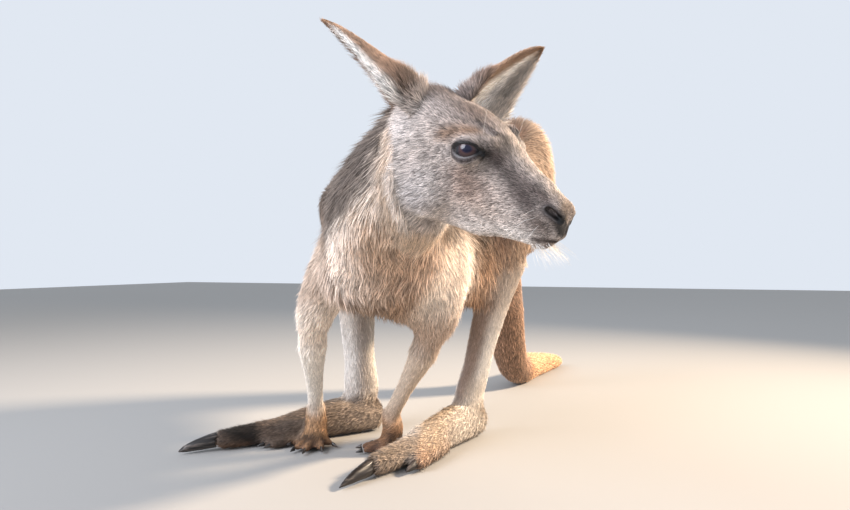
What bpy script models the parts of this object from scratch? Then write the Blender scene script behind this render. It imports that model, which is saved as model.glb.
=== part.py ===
"""A life-size still model of a young adult female grey kangaroo, resting on hands, hind feet and tail.

Metres, +Z up, floor at z = 0. The animal faces -Y and its left side is +X. Its head is turned to its left.
The solids give the outline out to the tips of the coat. Each body part is a closed solid of its own, and
neighbouring parts keep the gap SEAM. Limbs and trunk are lofts through a few named stations; they are fused,
smoothed and then divided by planes and by rounded zones.
"""

import math

import bmesh
import bpy
import numpy as np
from mathutils import Matrix, Vector

SEAM = 0.0004  # gap between neighbouring solids

# Driving sizes
ANKLE_REACH = 0.042  # from the back of the heel to the ankle, along the foot
ANKLE_HEIGHT = 0.062
EYE_RADIUS = 0.0130
EYE_PLACE = (-0.003, 0.0330, 0.001)  # an eye's centre in the head's frame: forward, out and up
EAR_LENGTH = 0.106  # from the crown to the tip
HAND_CLAW = 0.018

# Pose: where the joints are, and which way head, hands and feet point
HEAD_CENTRE = Vector((0.164, -0.329, 0.361))  # between the eyes
HEAD_YAW = 78.5  # degrees from straight ahead to the animal's left
HEAD_PITCH = -32.0  # nose down
HEAD_ROLL = 7.0  # left side up
HEEL = {"left": Vector((0.040, 0.100, 0.0)), "right": Vector((-0.113, 0.065, 0.0))}
FOOT_HEADING = {"left": -17.0, "right": -43.5}  # degrees from straight ahead, + to the animal's left
WRIST = {"left": Vector((-0.055, -0.046, 0.054)), "right": Vector((-0.172, -0.056, 0.058))}
HAND_HEADING = {"left": -80.0, "right": 12.0}
ELBOW = {"left": Vector((0.036, -0.107, 0.188)), "right": Vector((-0.127, -0.142, 0.192))}
SHOULDER = {"left": Vector((0.060, -0.165, 0.285)), "right": Vector((-0.068, -0.172, 0.285))}
KNEE = {"left": Vector((0.117, -0.020, 0.352)), "right": Vector((-0.137, -0.034, 0.364))}
HIP = {"left": Vector((0.060, 0.160, 0.385)), "right": Vector((-0.088, 0.155, 0.390))}
SIDES = ("left", "right")
OUTWARD = {"left": 1.0, "right": -1.0}

# Where the body is divided
FOREARM_START = 0.20  # how far down from the elbow the forearm's solid starts
SHANK_START = 0.26  # how far down from the knee the shank's solid starts
ARM_ZONE = dict(share=0.56, push=0.012, radii=(0.066, 0.064, 0.092))  # rounded, at the root of the arm
THIGH_ZONE = dict(share=0.54, push=0.026, radii=(0.140, 0.094, 0.166))
NECK_FACE = dict(point=(0.004, -0.205, 0.312), direction=(0.25, -0.95, 0.12))
WAIST_FACE = dict(point=(0.000, -0.010, 0.320), direction=(0.0, -1.0, 0.0))
TAIL_FACES = (  # a point on each face, the way the face looks, and how far to each side it cuts
    ((0.003, 0.285, 0.352), (0.0, 0.85, -0.50), 0.24),
    ((0.009, 0.370, 0.190), (0.0, 0.35, -0.94), 0.50),
    ((0.015, 0.505, 0.036), (0.05, 1.0, 0.0), 0.10),
    ((0.033, 0.630, 0.025), (0.15, 1.0, 0.0), 0.10),
)

# How fine each mesh is before it is divided, in triangles
TRIANGLES = dict(body=1800, head=1080, arm=420, leg=470, ear=146, claw=34)

COLOURS = dict(
    coat=(0.30, 0.22, 0.15),
    pale=(0.50, 0.43, 0.35),
    paw=(0.24, 0.13, 0.07),
    horn=(0.02, 0.018, 0.016),
    eye=(0.02, 0.012, 0.008),
)


# ---------------------------------------------------------------- mesh tools
def mesh_object(name, points, faces):
    mesh = bpy.data.meshes.new(name)
    mesh.from_pydata([tuple(p) for p in points], [], faces)
    obj = bpy.data.objects.new(name, mesh)
    workshop.objects.link(obj)
    return obj


def smooth_rows(rows, steps):
    """Rows on a smooth curve through the given rows, with that many steps between neighbours."""
    rows = np.asarray(rows, float)
    padded = np.vstack([2 * rows[0] - rows[1], rows, 2 * rows[-1] - rows[-2]])
    found = []
    for i in range(len(rows) - 1):
        before, start, end, after = padded[i : i + 4]
        for t in np.arange(steps) / steps:
            found.append(
                start
                + 0.5 * t * (end - before)
                + t * t * (before - 2.5 * start + 2 * end - 0.5 * after)
                + t * t * t * 0.5 * (3 * start - before - 3 * end + after)
            )
    found.append(rows[-1])
    return np.array(found)


def loft(name, stations, across, sides=28, steps=6, nose=0.8, wedge=0.0):
    """A closed tube with rounded ends. A station is (x, y, z, half width, height above, depth below) and
    across is the direction of the width. A positive wedge makes the section wider above than below."""
    rows = smooth_rows(stations, steps)
    centres = rows[:, :3]
    tangents = np.gradient(centres, axis=0)
    tangents /= np.linalg.norm(tangents, axis=1)[:, None]
    rings = []
    turns = np.arange(sides) * 2 * math.pi / sides

    def ring(centre, tangent, width, above, below):
        side = np.array(across, float) - np.dot(across, tangent) * tangent
        side /= np.linalg.norm(side)
        up = np.cross(side, tangent)
        if up[2] < 0 or (abs(up[2]) < 0.2 and up[1] > 0):
            up = -up
        height = np.where(np.sin(turns) > 0, above, below) * np.sin(turns)
        breadth = width * np.cos(turns) * (1 + wedge * np.sin(turns))
        return centre + breadth[:, None] * side + height[:, None] * up

    def cap(index, outward):
        """Rings that close an end like part of a ball."""
        width, above, below = rows[index, 3:6]
        reach = nose * min(width, above, below)
        for angle in (30, 58):
            shrink, push = math.cos(math.radians(angle)), math.sin(math.radians(angle))
            yield ring(
                centres[index] + outward * push * reach * tangents[index],
                tangents[index],
                width * shrink,
                above * shrink,
                below * shrink,
            )

    rings += list(cap(0, -1))[::-1]
    rings += [ring(c, t, *row[3:6]) for c, t, row in zip(centres, tangents, rows)]
    rings += list(cap(-1, 1))
    first = centres[0] - tangents[0] * nose * min(rows[0, 3:6])
    last = centres[-1] + tangents[-1] * nose * min(rows[-1, 3:6])
    points = np.vstack(rings + [first[None], last[None]])
    faces = []
    for r in range(len(rings) - 1):
        for s in range(sides):
            t = (s + 1) % sides
            faces.append((r * sides + s, r * sides + t, (r + 1) * sides + t, (r + 1) * sides + s))
    low, high, top = len(rings) * sides, len(rings) * sides + 1, (len(rings) - 1) * sides
    faces += [((s + 1) % sides, s, low) for s in range(sides)]
    faces += [(top + s, top + (s + 1) % sides, high) for s in range(sides)]
    obj = mesh_object(name, points, faces)
    face_outwards(obj)
    return obj


def face_outwards(obj):
    bm = bmesh.new()
    bm.from_mesh(obj.data)
    bmesh.ops.recalc_face_normals(bm, faces=bm.faces)
    if bm.calc_volume(signed=True) < 0:
        bmesh.ops.reverse_faces(bm, faces=bm.faces)
    bm.to_mesh(obj.data)
    bm.free()


def ball(name, centre, radii, turn=Matrix.Identity(3), rings=16):
    """An ellipsoid, its radii along the columns of turn."""
    bm = bmesh.new()
    bmesh.ops.create_uvsphere(bm, u_segments=2 * rings, v_segments=rings, radius=1.0)
    place = Matrix.Translation(centre) @ turn.to_4x4() @ Matrix.Diagonal((*radii, 1.0))
    bmesh.ops.transform(bm, matrix=place, verts=bm.verts)
    mesh = bpy.data.meshes.new(name)
    bm.to_mesh(mesh)
    bm.free()
    obj = bpy.data.objects.new(name, mesh)
    workshop.objects.link(obj)
    return obj


def block(name, face_centre, direction, half_width, half_height, depth):
    """A box that starts on the plane through face_centre and reaches depth along direction."""
    bm = bmesh.new()
    bmesh.ops.create_cube(bm, size=1.0)
    turn = Vector(direction).to_track_quat("Z", "Y").to_matrix().to_4x4()
    size = Matrix.Diagonal((2 * half_width, 2 * half_height, depth, 1.0))
    lift = Matrix.Translation((0, 0, depth / 2))
    bmesh.ops.transform(bm, matrix=Matrix.Translation(face_centre) @ turn @ lift @ size, verts=bm.verts)
    mesh = bpy.data.meshes.new(name)
    bm.to_mesh(mesh)
    bm.free()
    obj = bpy.data.objects.new(name, mesh)
    workshop.objects.link(obj)
    return obj


def settle(obj):
    """Turns an object's modifiers into plain mesh."""
    bpy.context.view_layer.update()
    graph = bpy.context.evaluated_depsgraph_get()
    mesh = bpy.data.meshes.new_from_object(obj.evaluated_get(graph))
    obj.modifiers.clear()
    obj.data = mesh
    return obj


def copy_of(obj, name):
    twin = bpy.data.objects.new(name, obj.data.copy())
    workshop.objects.link(twin)
    return twin


def remove(*objects):
    for obj in objects:
        bpy.data.objects.remove(obj)


def joined(name, parts):
    """One object that holds the meshes of several, which are removed."""
    bm = bmesh.new()
    for part in parts:
        bm.from_mesh(part.data)
    mesh = bpy.data.meshes.new(name)
    bm.to_mesh(mesh)
    bm.free()
    remove(*parts)
    obj = bpy.data.objects.new(name, mesh)
    workshop.objects.link(obj)
    return obj


def fused(name, parts, voxel, rounds):
    """One skin round several overlapping solids, smoothed that many rounds."""
    obj = joined(name, parts)
    remesh = obj.modifiers.new("Skin", "REMESH")
    remesh.mode = "VOXEL"
    remesh.voxel_size = voxel
    if rounds:
        soften = obj.modifiers.new("Soften", "SMOOTH")
        soften.factor = 0.5
        soften.iterations = rounds
    return settle(obj)


def thinned(obj, triangles):
    """The same shape with about that many triangles."""
    have = sum(len(p.vertices) - 2 for p in obj.data.polygons)
    thin = obj.modifiers.new("Thin", "DECIMATE")
    thin.ratio = min(1.0, triangles / have)
    return settle(obj)


def cut(obj, tool, operation="DIFFERENCE"):
    boolean = obj.modifiers.new(operation.title(), "BOOLEAN")
    boolean.operation = operation
    boolean.solver = "MANIFOLD"
    boolean.object = tool
    return settle(obj)


def grown(obj, amount):
    """A copy with every point moved outwards. Its faces are triangles, which stay flat."""
    bm = bmesh.new()
    bm.from_mesh(obj.data)
    bmesh.ops.triangulate(bm, faces=bm.faces)
    bm.normal_update()
    moves = [(vertex, vertex.normal * amount) for vertex in bm.verts]
    for vertex, move in moves:
        vertex.co += move
    mesh = bpy.data.meshes.new("grown")
    bm.to_mesh(mesh)
    bm.free()
    twin = bpy.data.objects.new("grown", mesh)
    workshop.objects.link(twin)
    return twin


def split(rest, name, zone, wider):
    """Takes the stretch of rest that lies in zone as a solid of its own, and leaves rest clear of it."""
    piece = cut(copy_of(rest, name), zone, "INTERSECT")
    cut(rest, wider, "DIFFERENCE")
    remove(zone, wider)
    return piece


def split_plane(rest, name, point, direction, half_width, half_height, depth):
    """Takes what lies beyond a plane, within a box."""
    direction = Vector(direction).normalized()
    zone = block("zone", point, direction, half_width, half_height, depth)
    wider = block("wider", Vector(point) - direction * SEAM, direction, half_width, half_height, depth)
    return split(rest, name, zone, wider)


def largest_body(obj):
    """Keeps the largest closed shell of a mesh."""
    bm = bmesh.new()
    bm.from_mesh(obj.data)
    bmesh.ops.triangulate(bm, faces=bm.faces)
    bm.verts.ensure_lookup_table()
    seen, shells = set(), []
    for seed in bm.verts:
        if seed in seen:
            continue
        shell, todo = [], [seed]
        seen.add(seed)
        while todo:
            vertex = todo.pop()
            shell.append(vertex)
            for edge in vertex.link_edges:
                other = edge.other_vert(vertex)
                if other not in seen:
                    seen.add(other)
                    todo.append(other)
        shells.append(shell)
    shells.sort(key=len, reverse=True)
    bmesh.ops.delete(bm, geom=[v for shell in shells[1:] for v in shell], context="VERTS")
    bm.to_mesh(obj.data)
    bm.free()
    return obj


# ---------------------------------------------------------------- frames
def heading(degrees):
    """Unit vector on the floor, that many degrees from straight ahead to the animal's left."""
    angle = math.radians(degrees)
    return Vector((math.sin(angle), -math.cos(angle), 0.0))


def head_frame():
    """Columns forward, left and up of the head, and its place."""
    forward = heading(HEAD_YAW) * math.cos(math.radians(HEAD_PITCH))
    forward.z = math.sin(math.radians(HEAD_PITCH))
    left = Vector((0, 0, 1)).cross(forward).normalized()
    turn = Matrix((forward, left, forward.cross(left))).transposed()
    return turn @ Matrix.Rotation(math.radians(HEAD_ROLL), 3, "X")


def in_head(x, y, z):
    return HEAD_CENTRE + HEAD_TURN @ Vector((x, y, z))


def on_foot(side, forward, outward, up):
    """A point given from the heel: along the foot, towards its outer edge, and up."""
    ahead = heading(FOOT_HEADING[side])
    out = Vector((-ahead.y, ahead.x, 0.0)) * OUTWARD[side]
    return HEEL[side] + ahead * forward + out * outward + Vector((0, 0, up))


def on_hand(side, forward, outward, up):
    """A point given from under the wrist: along the hand, towards its outer edge, and up."""
    ahead = heading(HAND_HEADING[side])
    out = Vector((-ahead.y, ahead.x, 0.0)) * OUTWARD[side]
    return Vector((WRIST[side].x, WRIST[side].y, 0)) + ahead * forward + out * outward + Vector((0, 0, up))


def station(point, width, above=None, below=None):
    """(x, y, z, half width, above, below). One size is a round section and two are an oval one."""
    above = width if above is None else above
    return (*point, width, above, above if below is None else below)


# ---------------------------------------------------------------- body forms
def trunk_form():
    """Chest, belly and rump, deepest over the haunches."""
    return loft(
        "trunk_form",
        [
            station((0.000, -0.215, 0.272), 0.056, 0.060, 0.060),
            station((-0.002, -0.165, 0.282), 0.078, 0.086, 0.086),
            station((-0.003, -0.080, 0.296), 0.092, 0.108, 0.104),
            station((-0.007, 0.010, 0.322), 0.106, 0.131, 0.120),
            station((-0.010, 0.100, 0.354), 0.114, 0.150, 0.132),
            station((-0.008, 0.180, 0.376), 0.106, 0.136, 0.126),
            station((-0.004, 0.250, 0.378), 0.082, 0.102, 0.100),
        ],
        across=(1, 0, 0),
    )


def neck_form():
    """From between the shoulders up and round to the back of the head."""
    return loft(
        "neck_form",
        [
            station((-0.002, -0.120, 0.312), 0.078, 0.078, 0.085),
            station((0.004, -0.190, 0.314), 0.074, 0.066, 0.082),
            station((0.034, -0.250, 0.332), 0.063, 0.056, 0.074),
            station((0.070, -0.292, 0.358), 0.054, 0.050, 0.068),
            station(in_head(-0.068, 0, -0.018), 0.045, 0.046, 0.056),
        ],
        across=(1, 0.25, 0),
    )


def tail_form():
    """Thick at the rump, down to the floor and straight back along it."""
    return loft(
        "tail_form",
        [
            station((-0.004, 0.205, 0.392), 0.084, 0.094),
            station((0.001, 0.285, 0.350), 0.063, 0.073),
            station((0.007, 0.345, 0.255), 0.047, 0.054),
            station((0.010, 0.385, 0.150), 0.040, 0.044),
            station((0.011, 0.428, 0.072), 0.036, 0.039),
            station((0.013, 0.490, 0.037), 0.034, 0.0375),
            station((0.023, 0.570, 0.030), 0.030, 0.0325),
            station((0.040, 0.665, 0.023), 0.025, 0.0255),
            station((0.056, 0.735, 0.017), 0.019, 0.0190),
            station((0.066, 0.778, 0.011), 0.010, 0.0120),
        ],
        across=(1, 0, 0),
    )


def thigh_form(side):
    """The haunch: a deep flat mass from the rump to the knee."""
    hip, knee = HIP[side], KNEE[side]
    middle = hip.lerp(knee, 0.5) + Vector((OUTWARD[side] * 0.004, 0, -0.006))
    return loft(
        f"thigh_form_{side}",
        [
            station(hip + Vector((OUTWARD[side] * -0.018, 0.105, -0.036)), 0.034, 0.046, 0.056),
            station(hip + Vector((0, 0.020, -0.004)), 0.054, 0.096, 0.100),
            station(middle + Vector((0, 0.050, 0.020)), 0.062, 0.108, 0.112),
            station(middle + Vector((0, -0.020, 0.008)), 0.056, 0.088, 0.092),
            station(knee + Vector((0, 0.010, 0.000)), 0.040, 0.052, 0.056),
        ],
        across=(1, 0, 0),
    )


def shank_form(side, stations=5):
    """From the knee down to the ankle: calf behind, then a narrow stretch above the heel."""
    knee = KNEE[side]
    ankle = on_foot(side, ANKLE_REACH, 0.0, ANKLE_HEIGHT)
    rows = [
        station(knee, 0.040, 0.050),
        station(knee.lerp(ankle, 0.22) + Vector((0, 0.012, 0)), 0.035, 0.048),
        station(knee.lerp(ankle, 0.50) + Vector((0, 0.008, 0)), 0.0245, 0.034),
        station(knee.lerp(ankle, 0.78) + Vector((0, 0.004, 0)), 0.0200, 0.027),
        station(ankle, 0.0225, 0.031),
    ]
    return loft(f"shank_form_{side}", rows[:stations], across=heading(FOOT_HEADING[side] + 90))


def foot_form(side):
    """Heel and long instep, flat underneath."""
    return loft(
        f"foot_form_{side}",
        [
            station(on_foot(side, 0.017, 0.000, 0.026), 0.018, 0.022, 0.0270),
            station(on_foot(side, 0.048, 0.000, 0.031), 0.023, 0.031, 0.0320),
            station(on_foot(side, 0.097, 0.000, 0.028), 0.024, 0.026, 0.0290),
            station(on_foot(side, 0.140, 0.000, 0.023), 0.026, 0.022, 0.0240),
            station(on_foot(side, 0.166, 0.001, 0.020), 0.025, 0.018, 0.0210),
        ],
        across=heading(FOOT_HEADING[side] + 90),
    )


# A toe: how far along the foot it starts and ends, how far out at both, its half thickness at both, and its
# claw's length and half width
TOES = {
    "4": dict(start=0.150, end=0.254, out=(0.001, 0.000), thick=(0.0200, 0.0150), claw=(0.065, 0.0105)),
    "5": dict(start=0.137, end=0.204, out=(0.017, 0.030), thick=(0.0140, 0.0115), claw=(0.031, 0.0065)),
    "3": dict(start=0.137, end=0.195, out=(-0.013, -0.0225), thick=(0.0100, 0.0075), claw=(0.017, 0.0034)),
    "2": dict(start=0.135, end=0.189, out=(-0.019, -0.0340), thick=(0.0090, 0.0070), claw=(0.016, 0.0032)),
}


def toe_form(side, toe):
    size = TOES[toe]
    rows = []
    for place in np.linspace(0, 1, 4):
        forward = size["start"] + place * (size["end"] - size["start"])
        outward = size["out"][0] + place * (size["out"][1] - size["out"][0])
        thick = size["thick"][0] + place * (size["thick"][1] - size["thick"][0])
        knuckle = 1.0 + 0.10 * math.sin(place * 2 * math.pi)
        rows.append(station(on_foot(side, forward, outward, thick * 0.95), thick * knuckle, thick))
    return loft(f"toe_form_{side}_{toe}", rows, across=heading(FOOT_HEADING[side] + 90), sides=16)


def claw_form(name, root, ahead, length, width, drop):
    """A horn that leaves a finger or toe and curves down to a point just above the floor."""
    rows = []
    for place in np.linspace(0, 1, 5):
        shrink = (1 - place) ** 0.6 * 0.88 + 0.12
        point = root + ahead * (length * place)
        point.z = root.z - drop * place**1.6
        rows.append(station(point, width * shrink, width * 1.25 * shrink))
    out = Vector((-ahead.y, ahead.x, 0)).normalized()
    return thinned(loft(name, rows, across=out, sides=7, steps=1, nose=0.5), TRIANGLES["claw"])


def upper_arm_form(side):
    shoulder, elbow = SHOULDER[side], ELBOW[side]
    return loft(
        f"upper_arm_form_{side}",
        [
            station(shoulder + Vector((OUTWARD[side] * -0.006, 0.022, 0.010)), 0.038, 0.052),
            station(shoulder.lerp(elbow, 0.55), 0.037, 0.044),
            station(elbow + Vector((0, 0.004, 0.000)), 0.0285, 0.032),
        ],
        across=(1, 0, 0),
    )


def forearm_form(side, stations=4):
    elbow, wrist = ELBOW[side], WRIST[side]
    rows = [
        station(elbow + Vector((0, 0.002, 0.012)), 0.0275, 0.0310),
        station(elbow.lerp(wrist, 0.30), 0.0195, 0.0235),
        station(elbow.lerp(wrist, 0.65), 0.0138, 0.0155),
        station(wrist, 0.0130, 0.0140),
    ]
    return loft(f"forearm_form_{side}", rows[:stations], across=(1, 0, 0), sides=20)


# A finger: how far forward and outward from under the wrist it starts and ends, and its half thickness
FINGERS = {
    "1": dict(start=(0.000, -0.011), end=(0.006, -0.0240), thick=0.0064),
    "2": dict(start=(0.010, -0.009), end=(0.029, -0.0180), thick=0.0068),
    "3": dict(start=(0.013, 0.000), end=(0.039, 0.0010), thick=0.0070),
    "4": dict(start=(0.010, 0.009), end=(0.033, 0.0170), thick=0.0068),
    "5": dict(start=(0.000, 0.012), end=(0.012, 0.0290), thick=0.0062),
}


def palm_form(side):
    return loft(
        f"palm_form_{side}",
        [
            station(WRIST[side] + Vector((0, 0, 0.004)), 0.0132, 0.0142),
            station(on_hand(side, -0.002, 0, 0.030), 0.0165, 0.0150),
            station(on_hand(side, 0.004, 0, 0.0140), 0.0190, 0.0145),
            station(on_hand(side, 0.014, 0, 0.0095), 0.0180, 0.0100),
        ],
        across=heading(HAND_HEADING[side] + 90),
        sides=20,
    )


def finger_form(side, finger):
    size = FINGERS[finger]
    start, end, thick = size["start"], size["end"], size["thick"]
    middle = [0.5 * (a + b) for a, b in zip(start, end)]
    rows = [
        station(on_hand(side, *start, thick * 1.35), thick * 1.08),
        station(on_hand(side, *middle, thick * 1.25), thick * 1.08),
        station(on_hand(side, *end, thick * 0.92), thick * 0.94),
    ]
    return loft(f"finger_form_{side}_{finger}", rows, across=heading(HAND_HEADING[side] + 90), sides=12)


# Head sections, nose to nape: forward of the eyes, middle height, half width, half height
HEAD_SECTIONS = (
    (0.080, -0.0180, 0.0165, 0.0190),
    (0.068, -0.0215, 0.0215, 0.0265),
    (0.046, -0.0240, 0.0250, 0.0335),
    (0.022, -0.0240, 0.0290, 0.0415),
    (0.000, -0.0210, 0.0350, 0.0505),
    (-0.022, -0.0188, 0.0415, 0.0577),
    (-0.048, -0.0198, 0.0460, 0.0587),
    (-0.072, -0.0215, 0.0440, 0.0510),
    (-0.092, -0.0200, 0.0360, 0.0380),
)


def head_forms():
    """Skull, muzzle and jaw, with fuller cheeks, brows, nostril wings and chin."""
    rows = [station(in_head(x, 0, z), width, height) for x, z, width, height in HEAD_SECTIONS]
    forms = [loft("skull_form", rows, across=HEAD_TURN.col[1], sides=36, nose=0.55, wedge=0.14)]
    forms.append(ball("chin", in_head(0.064, 0, -0.040), (0.020, 0.014, 0.0095), HEAD_TURN))
    forms.append(ball("crown", in_head(-0.046, 0, 0.010), (0.036, 0.032, 0.026), HEAD_TURN))
    for out in (1, -1):
        forms.append(ball("cheek", in_head(-0.040, out * 0.023, -0.040), (0.038, 0.023, 0.036), HEAD_TURN))
        forms.append(ball("brow", in_head(-0.004, out * 0.025, 0.012), (0.022, 0.014, 0.011), HEAD_TURN))
        forms.append(ball("nostril", in_head(0.078, out * 0.0085, -0.012), (0.011, 0.0095, 0.010), HEAD_TURN))
    return forms


# An ear: where it leaves the head, the way it points, and the way its hollow faces, all in the head's frame
EARS = {
    "left": dict(root=(-0.055, 0.030, 0.022), points=(0.01, 0.73, 0.68), opens=(0.94, -0.24, 0.25)),
    "right": dict(root=(-0.076, -0.028, 0.014), points=(-0.85, -0.44, 0.26), opens=(-0.071, -0.402, -0.913)),
}


def ear_form(side):
    """A lance-shaped shell, rolled into a scoop that closes to a funnel at its root."""
    ear = EARS[side]
    axis = (HEAD_TURN @ Vector(ear["points"])).normalized()
    opening = HEAD_TURN @ Vector(ear["opens"])
    opening = (opening - opening.dot(axis) * axis).normalized()
    edge = axis.cross(opening)
    root = in_head(*ear["root"]) - axis * 0.016
    length = EAR_LENGTH + 0.016
    along, across = 12, 11
    points = []
    for i in range(along):
        place = i / (along - 1)
        half_width = 0.0235 * (1 - place**2.1) ** 0.80 * min(1.0, 0.62 + 1.6 * place) + 0.0012
        roll = math.radians(114 - 62 * place)  # half the angle that the shell wraps round its axis
        radius = half_width / math.sin(min(roll, math.pi / 2))
        for j in range(across):
            angle = roll * (2 * j / (across - 1) - 1)
            sideways = edge * (radius * math.sin(angle))
            behind = opening * (radius * (math.cos(angle) - 0.5))
            points.append(root + axis * (length * place) + sideways - behind)
    faces = []
    for i in range(along - 1):
        for j in range(across - 1):
            a = i * across + j
            faces.append((a, a + 1, a + across + 1, a + across))
    obj = mesh_object(f"ear_form_{side}", points, faces)
    wall = obj.modifiers.new("Wall", "SOLIDIFY")
    wall.thickness = 0.0036
    wall.offset = 0
    settle(obj)
    face_outwards(obj)
    return obj


# ---------------------------------------------------------------- dividing the animal into its parts
def clear_scene():
    for obj in list(bpy.data.objects):
        bpy.data.objects.remove(obj)


def collection(name):
    made = bpy.data.collections.new(name)
    bpy.context.scene.collection.children.link(made)
    return made


def keep(name, obj, colour, roughness=0.9):
    """Makes an object a node of the kangaroo, with a material of its own."""
    largest_body(obj)
    obj.name = name
    workshop.objects.unlink(obj)
    kangaroo.objects.link(obj)
    material = bpy.data.materials.new(name)
    material.use_nodes = True
    shader = material.node_tree.nodes["Principled BSDF"]
    shader.inputs["Base Color"].default_value = (*colour, 1.0)
    shader.inputs["Roughness"].default_value = roughness
    obj.data.materials.clear()
    obj.data.materials.append(material)
    obj.data.shade_smooth()
    obj.data.set_sharp_from_angle(angle=math.radians(40))


def floor_cut(obj):
    """Cuts whatever lies under the floor to a flat."""
    under = block("under", (0, 0.2, 0), (0, 0, -1), 2, 2, 0.5)
    cut(obj, under)
    remove(under)
    return obj


def taken_off(obj, others):
    """Cuts obj clear of the others, with the seam between."""
    for other in others:
        wider = grown(other, SEAM)
        cut(obj, wider)
        remove(wider)
    return obj


def past(rest, name, point, direction, reach, depth=0.9):
    """Takes what lies past a plane, as far to each side as reach."""
    return split_plane(rest, name, point, direction, reach, reach, depth)


def limb_zone(ends, share, push, radii, side, amount=0.0):
    """A rounded zone round the root of a limb, that share of the way along it and pushed outwards. Its third
    radius lies along the limb."""
    start, end = ends
    place = start.lerp(end, share) + Vector((OUTWARD[side] * push, 0, 0))
    turn = (end - start).to_track_quat("Z", "X").to_matrix()
    return ball("zone", place, [radius + amount for radius in radii], turn, rings=7)


def make_limbs(body, side):
    """Divides one side's arm and leg off the body, and adds the finer hand and foot."""
    forms = [forearm_form(side), palm_form(side)] + [finger_form(side, f) for f in FINGERS]
    arm_skin = floor_cut(thinned(fused("arm_skin", forms, voxel=0.0020, rounds=3), TRIANGLES["arm"]))
    forms = [shank_form(side), foot_form(side)] + [toe_form(side, t) for t in TOES]
    leg_skin = floor_cut(thinned(fused("leg_skin", forms, voxel=0.0026, rounds=4), TRIANGLES["leg"]))
    ankle = on_foot(side, ANKLE_REACH, 0.0, ANKLE_HEIGHT)
    down_arm, down_leg = WRIST[side] - ELBOW[side], ankle - KNEE[side]
    arm = past(arm_skin, "arm", ELBOW[side] + FOREARM_START * down_arm, down_arm, reach=0.15)
    leg = past(leg_skin, "leg", KNEE[side] + SHANK_START * down_leg, down_leg, reach=0.35)
    remove(arm_skin, leg_skin)
    taken_off(body, [arm, leg])
    for name, ends, zone in (
        ("upper_arm", (SHOULDER[side], ELBOW[side]), ARM_ZONE),
        ("thigh", (HIP[side], KNEE[side]), THIGH_ZONE),
    ):
        inner = limb_zone(ends, **zone, side=side)
        wider = limb_zone(ends, **zone, side=side, amount=SEAM)
        keep(f"{name}_{side}", split(body, name, inner, wider), COLOURS["coat"])
    foot = past(leg, "foot", ankle, (0, 0, -1), reach=0.30, depth=0.12)
    hand = taken_off(past(arm, "hand", WRIST[side], down_arm, reach=0.09, depth=0.12), [foot])
    for finger, size in FINGERS.items():
        tip = on_hand(side, *size["end"], size["thick"] * 1.05)
        base = on_hand(side, *size["start"], size["thick"] * 1.05)
        ahead = (tip - base).normalized()
        claw = claw_form("claw", tip - ahead * 0.003, ahead, HAND_CLAW, 0.0036, tip.z - 0.003)
        keep(f"hand_{side}_claw_{finger}", taken_off(claw, [hand, foot]), COLOURS["horn"], 0.35)
    for toe, size in TOES.items():
        tip = on_foot(side, size["end"] - 0.001, size["out"][1], size["thick"][1] * 1.02)
        ahead = heading(FOOT_HEADING[side])
        claw = claw_form("claw", tip, ahead, *size["claw"], tip.z - 0.004)
        keep(f"foot_{side}_claw_{toe}", taken_off(claw, [foot]), COLOURS["horn"], 0.35)
    keep(f"forearm_{side}", arm, COLOURS["coat"])
    keep(f"hand_{side}", hand, COLOURS["paw"])
    keep(f"shank_{side}", leg, COLOURS["pale"])
    keep(f"foot_{side}", foot, COLOURS["paw"])


def make_tail(body):
    """Takes the tail off the body and divides it into its lengths, from the tip back to the root."""
    point, direction, reach = TAIL_FACES[0]
    rest = past(body, "tail", point, direction, reach)
    for number in range(len(TAIL_FACES), 1, -1):
        point, direction, reach = TAIL_FACES[number - 1]
        keep(f"tail_{number}", past(rest, "tail", point, direction, reach), COLOURS["coat"])
    keep("tail_1", rest, COLOURS["coat"])


def make_head(body):
    """Cuts the body at the back of the head, and adds the finer head with its eyes and ears."""
    forms = head_forms() + [neck_form()]
    rest = thinned(fused("head_skin", forms, voxel=0.0026, rounds=5), TRIANGLES["head"])
    nape, face = in_head(-0.086, 0, 0.0), HEAD_TURN @ Vector((0.93, 0.0, 0.37))
    head = past(rest, "head", nape, face, reach=0.16, depth=0.4)
    remove(rest, past(body, "neck_end", nape, face, reach=0.16, depth=0.3))
    neck = past(body, "neck", NECK_FACE["point"], NECK_FACE["direction"], reach=0.16, depth=0.4)
    for side in SIDES:
        centre = in_head(EYE_PLACE[0], OUTWARD[side] * EYE_PLACE[1], EYE_PLACE[2])
        socket = ball("socket", centre, [EYE_RADIUS + SEAM] * 3, HEAD_TURN, rings=6)
        cut(head, socket)
        remove(socket)
        keep(f"eye_{side}", ball("eye", centre, [EYE_RADIUS] * 3, HEAD_TURN, rings=6), COLOURS["eye"], 0.1)
    for side in SIDES:
        ear = thinned(ear_form(side), TRIANGLES["ear"])
        keep(f"ear_{side}", taken_off(ear, [head, neck]), COLOURS["coat"])
    keep("head", head, COLOURS["pale"])
    keep("neck", neck, COLOURS["pale"])


def stand_on_origin():
    """Moves every node so that the middle of the box's floor is the origin."""
    corners = np.array([v.co for obj in kangaroo.objects for v in obj.data.vertices])
    low, high = corners.min(axis=0), corners.max(axis=0)
    shift = Matrix.Translation((-(low[0] + high[0]) / 2, -(low[1] + high[1]) / 2, 0.0))
    for obj in kangaroo.objects:
        obj.data.transform(shift)
    return shift


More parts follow.
